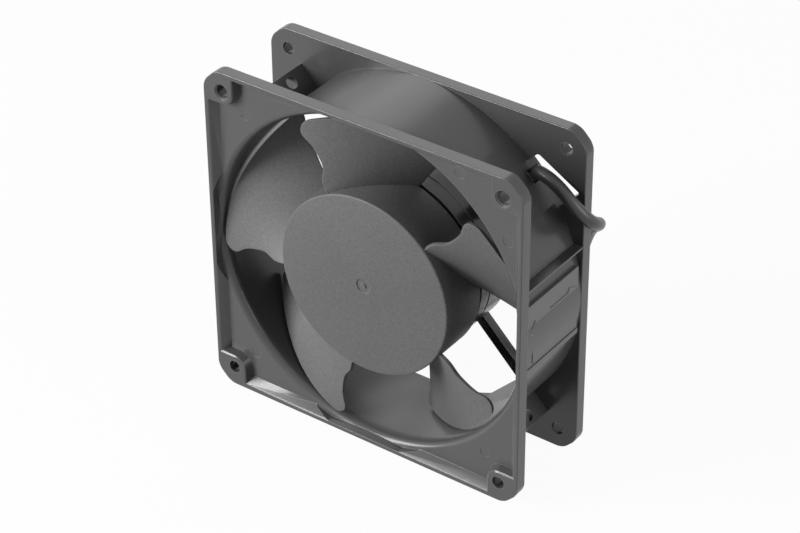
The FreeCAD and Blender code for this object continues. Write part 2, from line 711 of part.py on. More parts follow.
def shading_rings():
    """Closed copper loop round one part of each pole's face."""
    inner = STATOR_R - SHADING_SLOT_DEPTH + SHADING_EASE
    outer = inner + SHADING_T
    ease = math.degrees(SHADING_EASE / inner)
    low, high = STACK_Z - SHADING_T, STACK_TOP_Z + SHADING_T
    start = SHADING_FROM + ease
    leg = SHADING_W - 2 * ease
    end = FULL_TURN / POLES / 2 - math.degrees(SLOT_OPENING / 2 / inner) + ease
    loops = []
    for angle in pole_angles():
        first = angle + start
        last = angle + end + leg / 2
        loops.append(fused([
            sector(inner, outer, first, first + leg, low, high), sector(inner, outer, last - leg / 2, last, low, high),
            sector(inner, outer, first, last, low, STACK_Z), sector(inner, outer, first, last, STACK_TOP_Z, high)]))
    return Part.makeCompound(loops)


def insulator(side):
    """Moulded end cover of the stator core: plate over yoke and necks, fences outside the coils."""
    face = STACK_TOP_Z if side > 0 else STACK_Z
    low, high = sorted((face, face + side * INSULATOR_T))
    fence_out = STATOR_R - SHOE_T
    plate = fused([disc(YOKE_R, low, high)]
                  + necks(NECK_W / 2 + INSULATOR_EDGE, fence_out - FENCE_T / 2, low, high))
    fence_low, fence_high = sorted((face, face + side * (INSULATOR_T + FENCE_H)))
    fences = [sector(fence_out - FENCE_T, fence_out, angle - FENCE_ANGLE, angle + FENCE_ANGLE, fence_low, fence_high)
              for angle in pole_angles()]
    pieces = [plate] + fences
    if side < 0:
        post = disc(POST_R, low - POST_H, low)
        pieces += [turned(post.translated(Vector(POST_CIRCLE_R, 0, 0)), angle + FULL_TURN / POLES / 2)
                   for angle in pole_angles()]
    return fused(pieces).cut(disc(TUBE_R + INSULATOR_EASE, STACK_Z - DEPTH, STACK_TOP_Z + DEPTH))


def stator_windings():
    """One coil round each pole's neck."""
    inner_y = NECK_W / 2 + INSULATOR_EDGE + COIL_EASE
    low = STACK_Z - INSULATOR_T - COIL_EASE
    high = STACK_TOP_Z + INSULATOR_T + COIL_EASE
    hole = [(-inner_y, low), (inner_y, low), (inner_y, high), (-inner_y, high)]
    outer_y = inner_y + COIL_SIDE_T
    rim = [(-outer_y, low - COIL_T), (outer_y, low - COIL_T), (outer_y, high + COIL_T), (-outer_y, high + COIL_T)]
    outside = prism(rim, [COIL_CORNER_R] * 4, COIL_FROM, COIL_TO)
    coil = outside.cut(prism(hole, [COIL_EASE] * 4, COIL_FROM - PASS, COIL_TO + PASS))
    lay_down = Rotation(Vector(0, 1, 0), Vector(0, 0, 1), Vector(1, 0, 0), "ZXY")
    coil.Placement = Placement(Vector(0, 0, 0), lay_down)
    return Part.makeCompound([turned(coil, angle) for angle in pole_angles()])


def board_face_z():
    return STACK_Z - INSULATOR_T - POST_H


def terminal_board():
    """Circuit board on the rear cover's posts, where the leads meet the coils."""
    start = CABLE_STRUT_ANGLE - BOARD_ARC / 2
    return sector(BOARD_IN_R, BOARD_OUT_R, start, start + BOARD_ARC, board_face_z() - BOARD_T, board_face_z())


def corner_arc(before, corner, after):
    """Start, middle, end and radius of the arc that rounds a corner of a cord's route."""
    back = before - corner
    ahead = after - corner
    reach = ROUNDED_SHARE * min(back.Length, ahead.Length)
    half = back.getAngle(ahead) / 2
    radius = reach * math.tan(half)
    back.normalize()
    ahead.normalize()
    centre = corner + (back + ahead).normalize() * (radius / math.sin(half))
    middle = centre + (corner - centre).normalize() * radius
    return corner + back * reach, middle, corner + ahead * reach, radius


def cord_path(points):
    """Straight runs joined by tangent arcs through a route's points, with the arcs' radii."""
    edges, radii = [], []
    here = points[0]
    for before, corner, after in zip(points, points[1:], points[2:]):
        start, middle, end, radius = corner_arc(before, corner, after)
        edges += [Part.LineSegment(here, start).toShape(), Part.Arc(start, middle, end).toShape()]
        radii.append(radius)
        here = end
    edges.append(Part.LineSegment(here, points[-1]).toShape())
    return Part.Wire(edges), radii


def cord(points, radius, name):
    """Round cord along a route. Prints its length, its smallest arcs and how its volume compares."""
    path, radii = cord_path(points)
    section = Part.Face(Part.Wire(Part.makeCircle(radius, points[0], points[1] - points[0])))
    tube = path.makePipe(section)
    share = tube.Volume / (math.pi * radius ** 2 * path.Length)
    arcs = " ".join("%.1f" % value for value in radii)
    print("%s: length %.1f, volume over section by length %.4f, arc radii %s" % (name, path.Length, share, arcs))
    return tube


def stand_point(point):
    """Point of the fan coordinates in the part's frame."""
    return Vector(point.x, -point.z, point.y + AXIS_HEIGHT)


def spoke_point(along, across, z):
    """Point near the cable's spoke in fan coordinates, across running clockwise."""
    return turned(Part.Vertex(Vector(along, -across, z)), CABLE_STRUT_ANGLE).Point


def cable_start():
    return stand_point(spoke_point(CABLE_EXIT, CABLE_STRUT_ACROSS, CABLE_Z))


def held_cable():
    """Stretch of the cable that lies in its strut, from inside the base to the duct's window."""
    inner = stand_point(spoke_point(CABLE_INNER_END, CABLE_STRUT_ACROSS, CABLE_Z))
    return Part.makeCylinder(CABLE_R, (cable_start() - inner).Length, inner, cable_start() - inner)


def free_points():
    bend = stand_point(spoke_point(BORE_R, CABLE_STRUT_ACROSS, CABLE_Z))
    return [cable_start(), bend] + [Vector(*point) for point in FREE_ROUTE]


def cable_end():
    """Free end of the cable and the direction in which it points."""
    points = free_points()
    return points[-1], (points[-1] - points[-2]).normalize()


def end_rods(radius, start, length):
    """Two rods side by side that stick out of the cable's free end."""
    end, ahead = cable_end()
    aside = ahead.cross(Vector(0, 0, 1)).normalize() * (CORE_APART / 2)
    return Part.makeCompound([
        Part.makeCylinder(radius, length, end + ahead * start + aside * side, ahead) for side in (-1, 1)])


def inner_leads():
    """Two insulated leads from the cable's inner end up to the terminal board."""
    leads = []
    for side in (-1, 1):
        across = CABLE_STRUT_ACROSS + side * CORE_APART / 2
        inset = CABLE_INNER_END - CABLE_R - LEAD_R
        points = [spoke_point(CABLE_INNER_END, across, CABLE_Z), spoke_point(inset, across, CABLE_Z),
                  spoke_point(BOARD_OUT_R - 2 * LEAD_R, across, CABLE_Z + LEAD_R),
                  spoke_point(BOARD_OUT_R - 3 * LEAD_R, across, board_face_z() - BOARD_T)]
        leads.append(cord(points, LEAD_R, "inner lead"))
    return Part.makeCompound(leads)


def stand_up(shape):
    """Turn a shape from fan coordinates into the part's frame."""
    copy = shape.copy()
    copy.rotate(Vector(0, 0, 0), Vector(1, 0, 0), QUARTER_TURN)
    copy.translate(Vector(0, 0, AXIS_HEIGHT))
    return copy


def build():
    """All pieces by name, in the part's frame."""
    turning = {
        "impeller": impeller(),
        "shaft_insert": shaft_insert(),
        "rotor_shaft": rotor_shaft(),
        "rotor_core": rotor_core(),
        "rotor_cage": rotor_cage(),
        "front_inner_race": race(SHAFT_R, INNER_RACE_R, FRONT_BEARING_Z),
        "rear_inner_race": race(SHAFT_R, INNER_RACE_R, REAR_BEARING_Z),
        "thrust_washer": thrust_washer(),
        "retaining_clip": retaining_clip(),
    }
    standing = {
        "front_flange": front_flange(),
        "rear_flange": rear_flange(),
        "air_duct": air_duct(),
        "corner_webs": corner_webs(),
        "motor_base": motor_base(),
        "bearing_tube": bearing_tube(),
        "disc_spring": disc_spring(),
        "front_outer_race": race(OUTER_RACE_R, BEARING_R, FRONT_BEARING_Z),
        "rear_outer_race": race(OUTER_RACE_R, BEARING_R, REAR_BEARING_Z),
        "front_bearing_balls": balls(FRONT_BEARING_Z),
        "rear_bearing_balls": balls(REAR_BEARING_Z),
        "stator_core": stator_core(),
        "shading_rings": shading_rings(),
        "front_insulator": insulator(1),
        "rear_insulator": insulator(-1),
        "stator_windings": stator_windings(),
        "terminal_board": terminal_board(),
        "inner_leads": inner_leads(),
    }
    pieces = {name: stand_up(shape) for name, shape in {**turning, **standing}.items()}
    pieces["held_cable"] = held_cable()
    pieces["free_cable"] = cord(free_points(), CABLE_R, "free cable")
    pieces["cable_cores"] = end_rods(CORE_R, 0.0, CORE_BARE_LENGTH)
    pieces["core_tips"] = end_rods(TIP_R, CORE_BARE_LENGTH, TIP_LENGTH)
    return pieces


os.makedirs("parts", exist_ok=True)
for node, piece in build().items():
    piece.exportStep("parts/%s.step" % node)
    print("%s: %d solids, valid %s, volume %.1f" % (node, len(piece.Solids), piece.isValid(), piece.Volume))
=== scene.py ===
"""Axial cooling fan with a moulded frame, five wide blades and a lead cable, dressed on its frame."""
from __future__ import annotations

import json
import logging
import math
from collections.abc import Callable, Sequence
from dataclasses import dataclass
from enum import Enum

import bmesh
import bpy
from mathutils import Matrix, Vector


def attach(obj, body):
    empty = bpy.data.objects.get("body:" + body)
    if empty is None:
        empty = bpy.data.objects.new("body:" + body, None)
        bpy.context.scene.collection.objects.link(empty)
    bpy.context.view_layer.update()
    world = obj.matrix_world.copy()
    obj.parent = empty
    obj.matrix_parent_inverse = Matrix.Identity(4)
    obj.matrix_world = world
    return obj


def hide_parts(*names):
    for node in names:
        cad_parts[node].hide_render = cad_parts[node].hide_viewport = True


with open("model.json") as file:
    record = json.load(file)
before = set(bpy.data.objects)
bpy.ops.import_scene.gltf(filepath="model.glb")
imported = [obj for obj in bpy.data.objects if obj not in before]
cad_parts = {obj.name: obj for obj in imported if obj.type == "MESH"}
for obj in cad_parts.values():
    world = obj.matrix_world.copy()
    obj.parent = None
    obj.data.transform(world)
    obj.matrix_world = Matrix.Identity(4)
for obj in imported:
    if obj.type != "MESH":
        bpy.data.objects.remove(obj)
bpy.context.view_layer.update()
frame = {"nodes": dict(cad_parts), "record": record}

# Blender works in metres and the sizes below are in millimetres. The axis stands AXIS_Z above the floor.
MM = 0.001
AXIS_Z = 59.5
# A step that keeps two faces from lying in one plane, and how strongly large faces set the shading.
HAIR = 0.05
FACE_WEIGHT = 80
WHITE = (1.0, 1.0, 1.0, 1.0)
LOG = logging.getLogger("fan")

Piece = bpy.types.Object
Socket = bpy.types.NodeSocket
Limits = tuple[float, float]
Triple = tuple[float, float, float]
Test = Callable[[Vector, Vector], bool]
Inputs = dict[str | int, object]

# Depths in front of the fan and behind it.
THROUGH: Limits = (-25.0, 25.0)
SHARE: Limits = (0.0, 1.0)


class Body(Enum):
    """The two bodies of the fan, which turn against each other."""

    STANDING = "housing"
    TURNING = "rotor"


class Cut(Enum):
    """How one solid is combined with another."""

    ADD = "UNION"
    TAKE = "DIFFERENCE"
    KEEP = "INTERSECT"


def at(x: float, y: float, z: float) -> Triple:
    """Place in metres, from millimetres to the right of, along and above the fan's axis."""
    return x * MM, y * MM, (z + AXIS_Z) * MM


def clear_selection() -> None:
    """Leave object mode with nothing selected."""
    active = bpy.context.view_layer.objects.active
    if active is not None and active.mode != "OBJECT":
        bpy.ops.object.mode_set(mode="OBJECT")
    bpy.ops.object.select_all(action="DESELECT")


def take(piece: Piece) -> None:
    """Make a piece the only selected one and the active one.

    Args:
        piece: The piece to take.
    """
    clear_selection()
    piece.select_set(True)
    bpy.context.view_layer.objects.active = piece


def open_piece(piece: Piece) -> None:
    """Take a piece into edit mode, all of it selected.

    Args:
        piece: The piece to edit.
    """
    take(piece)
    bpy.ops.object.mode_set(mode="EDIT")
    bpy.ops.mesh.select_mode(type="EDGE")
    bpy.ops.mesh.select_all(action="SELECT")


def settle(piece: Piece) -> Piece:
    """Close a piece's edit mode and put its place, turn and scale into its mesh.

    Args:
        piece: The piece to settle.

    Returns:
        The same piece.
    """
    take(piece)
    bpy.ops.object.transform_apply(location=True, rotation=True, scale=True)
    return piece


def added(name: str) -> Piece:
    """Name the piece that was just added, and settle it.

    Args:
        name: Name of the piece.

    Returns:
        The piece.
    """
    piece = bpy.context.object
    piece.name = name
    return settle(piece)


def pick_edges(piece: Piece, test: Test) -> None:
    """Select, in edit mode, the edges whose two ends pass a test in millimetres.

    Args:
        piece: The piece in edit mode.
        test: Takes the edge's two ends and says whether it is wanted.
    """
    bpy.ops.mesh.select_all(action="DESELECT")
    work = bmesh.from_edit_mesh(piece.data)
    for edge in work.edges:
        first, second = (vertex.co / MM for vertex in edge.verts)
        edge.select_set(test(first, second))
    bmesh.update_edit_mesh(piece.data)


def runs_deep(first: Vector, second: Vector) -> bool:
    """Whether an edge runs more than a millimetre along the fan's depth."""
    return abs(first.y - second.y) > 1.0


def soften(radius: float, segments: int = 2) -> None:
    """Round the selected edges in edit mode.

    Args:
        radius: Width of the rounding in millimetres.
        segments: Number of strips across it.
    """
    bpy.ops.mesh.bevel(offset=radius * MM, offset_type="OFFSET", segments=segments, affect="EDGES",
                       clamp_overlap=False)


def block(name: str, x: Limits, y: Limits, z: Limits, edge: float = 0.0) -> Piece:
    """Make a box between limits, its edges softened.

    Args:
        name: Name of the piece.
        x: Limits to the left and right.
        y: Limits in depth, from the inlet to the outlet.
        z: Limits in height above the fan's axis.
        edge: Rounding of its edges, 0 for none.

    Returns:
        The box.
    """
    clear_selection()
    middle = [(low + high) / 2 for low, high in (x, y, z)]
    size = [(high - low) * MM for low, high in (x, y, z)]
    bpy.ops.mesh.primitive_cube_add(size=1, location=at(*middle), scale=size)
    piece = added(name)
    if edge:
        open_piece(piece)
        soften(edge)
        settle(piece)
    return piece


def draw_out(stations: Sequence[Limits], about: float = 0.0) -> None:
    """Extrude the outline that is being edited through stations along the depth.

    Args:
        stations: Width or radius of each station with its depth; the outline stands at the first.
        about: What it grows and shrinks about, as far to the right of the axis as above it.
    """
    width, depth = stations[0]
    for following, place in stations[1:]:
        share = following / width
        bpy.ops.mesh.extrude_region_move(TRANSFORM_OT_translate={"value": (0, (place - depth) * MM, 0)})
        bpy.ops.transform.resize(value=(share, 1, share), center_override=at(about, place, about))
        width, depth = following, place


def face_outwards(piece: Piece) -> Piece:
    """Turn all the faces of a piece in edit mode outwards, and settle it.

    Args:
        piece: The piece in edit mode.

    Returns:
        The same piece.
    """
    bpy.ops.mesh.select_all(action="SELECT")
    bpy.ops.mesh.normals_make_consistent(inside=False)
    return settle(piece)


def turned(name: str, outline: Sequence[Limits], segments: int = 192, ring: bool = False) -> Piece:
    """Turn an outline round the fan's axis.

    Args:
        name: Name of the piece.
        outline: Pairs of radius and depth in millimetres, none on the axis.
        segments: Number of steps round the axis.
        ring: Whether the outline closes on itself; otherwise its two ends are capped.

    Returns:
        The turned piece.
    """
    clear_selection()
    radius, depth = outline[0]
    bpy.ops.mesh.primitive_circle_add(vertices=segments, radius=radius * MM, fill_type="NOTHING",
                                      location=at(0, depth, 0), rotation=(math.pi / 2, 0, 0))
    piece = added(name)
    open_piece(piece)
    draw_out(outline)
    if ring:
        bpy.ops.mesh.select_all(action="DESELECT")
        bpy.ops.mesh.select_non_manifold()
        bpy.ops.mesh.bridge_edge_loops()
    else:
        bpy.ops.mesh.select_all(action="SELECT")
        bpy.ops.mesh.fill_holes(sides=0)
    return face_outwards(piece)


def square(name: str, width: float, depth: float, middle: float = 0.0) -> Piece:
    """Stand a square sheet across the fan's depth and open it.

    Args:
        name: Name of the piece.
        width: Its width and height.
        depth: Its place in depth.
        middle: Its middle, as far to the right of the axis as above it.

    Returns:
        The sheet in edit mode.
    """
    clear_selection()
    bpy.ops.mesh.primitive_plane_add(size=1, location=at(middle, depth, middle), rotation=(math.pi / 2, 0, 0))
    piece = bpy.context.object
    piece.scale = (width * MM, width * MM, 1)
    open_piece(added(name))
    return piece


def rod(name: str, radius: float, y: Limits, place: Limits, segments: int = 48) -> Piece:
    """Make a round rod along the fan's depth.

    Args:
        name: Name of the piece.
        radius: Its radius.
        y: Its two ends in depth.
        place: Its place to the right of and above the fan's axis.
        segments: Number of steps round it.

    Returns:
        The rod.
    """
    clear_selection()
    bpy.ops.mesh.primitive_cylinder_add(vertices=segments, radius=radius * MM, depth=(y[1] - y[0]) * MM,
                                        location=at(place[0], (y[0] + y[1]) / 2, place[1]),
                                        rotation=(math.pi / 2, 0, 0))
    return added(name)


def swing(piece: Piece, angle: float, axis: str, shift: Triple = (0.0, 0.0, 0.0)) -> Piece:
    """Turn a piece about a line through the fan's middle, then move it.

    Args:
        piece: The piece to turn.
        angle: The angle in radians.
        axis: The line's direction, "X" or "Y".
        shift: How far the turned piece moves, in millimetres.

    Returns:
        The same piece.
    """
    centre = Vector(at(0, 0, 0))
    about = Matrix.Rotation(angle, 4, axis)
    piece.matrix_world = Matrix.Translation(Vector(at(*shift))) @ about @ Matrix.Translation(-centre)
    return settle(piece)


def turn(piece: Piece, degrees: float) -> Piece:
    """Turn a piece about the fan's axis, anticlockwise as seen from the inlet."""
    return swing(piece, -math.radians(degrees), "Y")


def copy_of(piece: Piece, name: str) -> Piece:
    """Copy a piece with a mesh of its own.

    Args:
        piece: The piece to copy.
        name: Name of the copy.

    Returns:
        The copy.
    """
    take(piece)
    bpy.ops.object.duplicate(linked=False)
    copy = bpy.context.object
    copy.name = name
    return copy


def change(piece: Piece, kind: str, **values: object) -> None:
    """Give a piece a modifier and apply it.

    Args:
        piece: The piece that changes.
        kind: Blender's name of the modifier.
        values: The modifier's settings.
    """
    take(piece)
    modifier = piece.modifiers.new(kind.lower(), kind)
    for name, value in values.items():
        setattr(modifier, name, value)
    bpy.ops.object.modifier_apply(modifier=modifier.name)


def combine(piece: Piece, cut: Cut, *others: Piece) -> Piece:
    """Add other solids to a piece, take them from it or keep what they share, and use them up.

    Args:
        piece: The piece that changes.
        cut: How the solids are combined.
        others: The solids that are used up.

    Returns:
        The changed piece.
    """
    for other in others:
        change(piece, "BOOLEAN", operation=cut.value, object=other, solver="MANIFOLD")
        bpy.data.objects.remove(other, do_unlink=True)
    return piece


def smooth(piece: Piece, degrees: float) -> None:
    """Shade a piece smoothly, its edges of more than an angle in degrees kept sharp."""
    take(piece)
    bpy.ops.object.shade_smooth_by_angle(angle=math.radians(degrees))


def polar(radius: float, degrees: float) -> Limits:
    """Place at a radius and an anticlockwise angle, to the right of and above the axis."""
    angle = math.radians(degrees)
    return radius * math.cos(angle), radius * math.sin(angle)


@dataclass(frozen=True)
class NodeSheet:
    """A node tree that is being laid out."""

    tree: bpy.types.NodeTree

    @classmethod
    def blank(cls, owner: bpy.types.Material | bpy.types.World) -> "NodeSheet":
        """Empty sheet of a material or a world."""
        owner.use_nodes = True
        owner.node_tree.nodes.clear()
        return cls(owner.node_tree)

    def feed(self, node: bpy.types.Node, inputs: Inputs) -> None:
        """Set or link a node's inputs.

        Args:
            node: The node.
            inputs: By name or number of the input, its value or the socket that feeds it.
        """
        for key, value in inputs.items():
            if isinstance(value, Socket):
                self.tree.links.new(value, node.inputs[key])
            else:
                node.inputs[key].default_value = value

    def add(self, kind: str, inputs: Inputs | None = None, **values: object) -> bpy.types.Node:
        """Add a node.

        Args:
            kind: Blender's name of the node.
            inputs: Its inputs' values, or the sockets that feed them.
            values: The node's own properties.

        Returns:
            The node.
        """
        node = self.tree.nodes.new(kind)
        for name, value in values.items():
            setattr(node, name, value)
        self.feed(node, inputs or {})
        return node

    def number(self, operation: str, *values: object, clamp: bool = False) -> Socket:
        """Result of an operation on numbers or sockets, held between 0 and 1 if wanted."""
        node = self.add("ShaderNodeMath", dict(enumerate(values)), operation=operation, use_clamp=clamp)
        return node.outputs[0]

    def remap(self, value: Socket, source: Limits, target: Limits) -> Socket:
        """Number that is carried over from one range to another and held there."""
        ends = dict(zip(("From Min", "From Max", "To Min", "To Max"), (*source, *target)))
        return self.add("ShaderNodeMapRange", {"Value": value, **ends}, clamp=True).outputs["Result"]

    def noise(self, start: bpy.types.NodeOutputs, scale: object, **settings: float) -> Socket:
        """Noise over the place that a group is given."""
        inputs = {"Vector": start["Place"], "Scale": scale, **settings}
        return self.add("ShaderNodeTexNoise", inputs).outputs["Fac"]

    def effect(self, group: bpy.types.NodeTree, place: Socket, **numbers: float) -> bpy.types.NodeOutputs:
        """What a shared node group gives, with numbers in place of its usual ones."""
        return self.add("ShaderNodeGroup", {"Place": place, **numbers}, node_tree=group).outputs

    def mix(self, share: object, first: bpy.types.Node, second: bpy.types.Node) -> bpy.types.Node:
        """Mix of two shaders with a share of the second."""
        return self.add("ShaderNodeMixShader", {0: share, 1: first.outputs[0], 2: second.outputs[0]})

    def seen(self) -> Socket:
        """Mask of the rays that see or mirror the background."""
        path = self.add("ShaderNodeLightPath").outputs
        first = self.number("MAXIMUM", path["Is Camera Ray"], path["Is Glossy Ray"])
        return self.number("MAXIMUM", first, path["Is Transmission Ray"])


@dataclass(frozen=True)
class EffectGroups:
    """Node groups that several finishes share."""

    grain: bpy.types.NodeTree
    edges: bpy.types.NodeTree
    drift: bpy.types.NodeTree

    @staticmethod
    def _open(name: str, inputs: dict[str, float], outputs: Sequence[str]) -> tuple:
        """Start a node group with a place input, number inputs and number outputs.

        Args:
            name: Name of the group.
            inputs: Names and usual values of the number inputs.
            outputs: Names of the number outputs.

        Returns:
            The group's sheet, what its inputs give, and its output node.
        """
        group = bpy.data.node_groups.new(name, "ShaderNodeTree")
        sockets = group.interface
        sockets.new_socket("Place", in_out="INPUT", socket_type="NodeSocketVector")
        for label, value in inputs.items():
            number = sockets.new_socket(label, in_out="INPUT", socket_type="NodeSocketFloat")
            number.default_value = value
        for label in outputs:
            sockets.new_socket(label, in_out="OUTPUT", socket_type="NodeSocketFloat")
        sheet = NodeSheet(group)
        return sheet, sheet.add("NodeGroupInput").outputs, sheet.add("NodeGroupOutput")

    @classmethod
    def build(cls) -> "EffectGroups":
        """Lay out the three groups."""
        return cls(cls._grain(), cls._edges(), cls._drift())

    @classmethod
    def _grain(cls) -> bpy.types.NodeTree:
        """Fine moulded or cast grain, as a height and as a mottle."""
        sheet, start, end = cls._open("surface_grain", {"Scale": 2500.0}, ["Height", "Mottle"])
        fine = sheet.noise(start, start["Scale"], Detail=3.0, Roughness=0.62)
        coarse = sheet.noise(start, sheet.number("MULTIPLY", start["Scale"], 0.31), Detail=2.0)
        sheet.feed(end, {"Height": sheet.number("ADD", fine, coarse), "Mottle": fine})
        return sheet.tree

    @classmethod
    def _edges(cls) -> bpy.types.NodeTree:
        """Mask of a painted highlight along outer edges, broken up by noise."""
        sheet, start, end = cls._open("edge_highlight", {"Radius": 0.0004, "Scale": 700.0}, ["Mask"])
        shape = sheet.add("ShaderNodeNewGeometry")
        rounded = sheet.add("ShaderNodeBevel", {"Radius": start["Radius"]}, samples=4)
        bend = sheet.add("ShaderNodeVectorMath", {0: rounded.outputs["Normal"], 1: shape.outputs["Normal"]},
                         operation="DOT_PRODUCT")
        highlight_band = sheet.remap(bend.outputs["Value"], (0.995, 0.92), SHARE)
        patches = sheet.remap(sheet.noise(start, start["Scale"], Detail=4.0), (0.35, 0.60), (0.45, 1.0))
        sheet.feed(end, {"Mask": sheet.number("MULTIPLY", highlight_band, patches, clamp=True)})
        return sheet.tree

    @classmethod
    def _drift(cls) -> bpy.types.NodeTree:
        """Slow change over a moulding, from its flow and its cooling."""
        sheet, start, end = cls._open("moulding_drift", {"Scale": 22.0}, ["Value"])
        slow = sheet.noise(start, start["Scale"], Detail=1.5, Distortion=0.6)
        sheet.feed(end, {"Value": sheet.remap(slow, (0.3, 0.7), SHARE)})
        return sheet.tree


@dataclass(frozen=True)
class Finish:
    """A surface with fine grain, a slow drift of tone and gloss, and a paler painted highlight along its
    edges.
    """

    name: str
    colour: Triple
    # Colour of the painted highlight that the edge mask lays along edges.
    edge_highlight_colour: Triple
    roughness: Limits
    metal: float = 0.0
    grain_scale: float = 2500.0
    grain_depth: float = 0.02
    grain_tone: float = 0.06
    tone_drift: float = 0.08
    edge_width: float = 0.35

    def build(self, groups: EffectGroups) -> bpy.types.Material:
        """Lay out the material.

        Args:
            groups: The shared node groups.

        Returns:
            The material.
        """
        material = bpy.data.materials.new(self.name)
        sheet = NodeSheet.blank(material)
        place = sheet.add("ShaderNodeTexCoord").outputs["Object"]
        grain = sheet.effect(groups.grain, place, Scale=self.grain_scale)
        slow = sheet.effect(groups.drift, place)["Value"]
        # The edge mask paints a highlight: near edges the colour is mixed towards the paler edge colour.
        edge_highlight_mask = sheet.effect(groups.edges, place, Radius=self.edge_width * MM)["Mask"]
        tone = self._tone(sheet, grain["Mottle"], slow)
        colour = sheet.add("ShaderNodeMix", {"Factor": edge_highlight_mask, "A": tone, "B": (*self.edge_highlight_colour, 1.0)},
                           data_type="RGBA", blend_type="MIX")
        bump = sheet.add("ShaderNodeBump", {"Strength": 1.0, "Distance": self.grain_depth * MM,
                                            "Height": grain["Height"]})
        surface = sheet.add("ShaderNodeBsdfPrincipled", {
            "Metallic": self.metal, "Base Color": colour.outputs["Result"],
            "Roughness": sheet.remap(slow, SHARE, self.roughness), "Normal": bump.outputs["Normal"]})
        sheet.add("ShaderNodeOutputMaterial", {"Surface": surface.outputs["BSDF"]})
        return material

    def _tone(self, sheet: NodeSheet, mottle: Socket, drift: Socket) -> Socket:
        """Vary the colour by the grain and by the slow drift.

        Args:
            sheet: The material's sheet.
            mottle: The grain's value.
            drift: The slow value.

        Returns:
            The varied colour.
        """
        levels = sheet.remap(drift, SHARE, (1.0 - self.tone_drift, 1.0 + self.tone_drift))
        specks = sheet.remap(mottle, (0.25, 0.75), (1.0 - self.grain_tone, 1.0 + self.grain_tone))
        both = sheet.number("MULTIPLY", levels, specks)
        shade = sheet.add("ShaderNodeVectorMath", {0: self.colour, "Scale": both}, operation="SCALE")
        return shade.outputs["Vector"]


# The second colour of each finish is that of its painted edge highlight.
FRAME_FINISH = Finish("moulded_frame", (0.072, 0.072, 0.073), (0.23, 0.23, 0.232), (0.24, 0.34),
                      grain_scale=3200.0, grain_depth=0.005, grain_tone=0.05, edge_width=0.28)
# The rating pad's finish is partly real and partly painted light: its coarser sparked grain and higher
# roughness are real, while its colour, about twice the frame's, is a painted sheen for the light that the side
# pad catches.
PAD_FINISH = Finish("sparked_pad", (0.150, 0.150, 0.151), (0.27, 0.27, 0.272), (0.40, 0.48),
                    grain_scale=2600.0, grain_depth=0.016, grain_tone=0.10, edge_width=0.25)
IMPELLER_FINISH = Finish("moulded_impeller", (0.100, 0.100, 0.101), (0.22, 0.22, 0.222), (0.50, 0.58),
                         grain_scale=1500.0, grain_depth=0.045, grain_tone=0.26)
CABLE_FINISH = Finish("cable_sheath", (0.055, 0.055, 0.056), (0.08, 0.08, 0.08), (0.34, 0.42),
                      grain_scale=1800.0, grain_depth=0.008, grain_tone=0.04)
MOTOR_FINISHES = {
    "brass": Finish("turned_brass", (0.56, 0.40, 0.17), (0.72, 0.56, 0.30), (0.24, 0.34), metal=1.0),
    "spring_steel": Finish("spring_steel", (0.42, 0.43, 0.45), (0.6, 0.6, 0.62), (0.22, 0.32), metal=1.0),
    "bearing_steel": Finish("ground_steel", (0.56, 0.57, 0.58), (0.7, 0.7, 0.72), (0.16, 0.26), metal=1.0),
    "lamination_steel": Finish("sheet_edges", (0.24, 0.24, 0.25), (0.38, 0.38, 0.4), (0.38, 0.5), metal=1.0,
                               grain_scale=4200.0, grain_depth=0.02),
    "cast_aluminium": Finish("cast_aluminium", (0.60, 0.61, 0.62), (0.72, 0.72, 0.73), (0.42, 0.56),
                             metal=1.0, grain_scale=1500.0, grain_depth=0.03),
    "copper": Finish("enamelled_copper", (0.45, 0.15, 0.06), (0.6, 0.25, 0.12), (0.25, 0.35), metal=1.0),
    "bobbin_plastic": Finish("bobbin_plastic", (0.60, 0.57, 0.49), (0.7, 0.68, 0.6), (0.45, 0.55)),
    "circuit_board": Finish("circuit_board", (0.03, 0.13, 0.05), (0.2, 0.25, 0.12), (0.25, 0.35)),
    "core_insulation": Finish("core_insulation", (0.05, 0.05, 0.052), (0.07, 0.07, 0.07), (0.4, 0.5)),
    "tinned_wire": Finish("tinned_wire", (0.62, 0.62, 0.60), (0.72, 0.72, 0.7), (0.3, 0.4), metal=1.0),
}


@dataclass(frozen=True)
class FinishRack:
    """The built materials, by material slot."""

    materials: dict[str, bpy.types.Material]

    @classmethod
    def build(cls) -> "FinishRack":
        """Build every finish once.

        Returns:
            The rack.
        """
        groups = EffectGroups.build()
        finishes = {"moulded_frame": FRAME_FINISH, "moulded_impeller": IMPELLER_FINISH,
                    "cable_sheath": CABLE_FINISH, "sparked_pad": PAD_FINISH, **MOTOR_FINISHES}
        return cls({slot: finish.build(groups) for slot, finish in finishes.items()})

    def dress(self, piece: Piece, slot: str, finish: str = "") -> None:
        """Give a piece the material of a slot.

        Args:
            piece: The piece.
            slot: The record's material slot.
            finish: Name of a finish that the piece has in place of the slot's own.
        """
        piece.data.materials.clear()
        piece.data.materials.append(self.materials[finish or slot])


@dataclass(frozen=True)
class StudioCamera:
    """Camera at the photograph's viewing angle, its place in metres."""

    place: Triple = (0.413392, -0.563356, 0.533791)
    right: Triple = (0.809918, 0.586504, -0.006697)
    down: Triple = (0.326024, -0.459647, -0.826095)
    ahead: Triple = (-0.487586, 0.666886, -0.563491)
    lens: float = 120.955
    sensor: float = 36.0
    clip: Limits = (0.02, 20.0)

    def build(self) -> None:
        """Put the camera up and make it the scene's."""
        clear_selection()
        bpy.ops.object.camera_add()
        camera = bpy.context.object
        camera.name = "studio_camera"
        axes = Matrix((self.right, [-v for v in self.down], [-v for v in self.ahead])).transposed()
        camera.matrix_world = Matrix.Translation(self.place) @ axes.to_4x4()
        camera.data.lens = self.lens
        camera.data.sensor_width = self.sensor
        camera.data.clip_start, camera.data.clip_end = self.clip
        bpy.context.scene.camera = camera


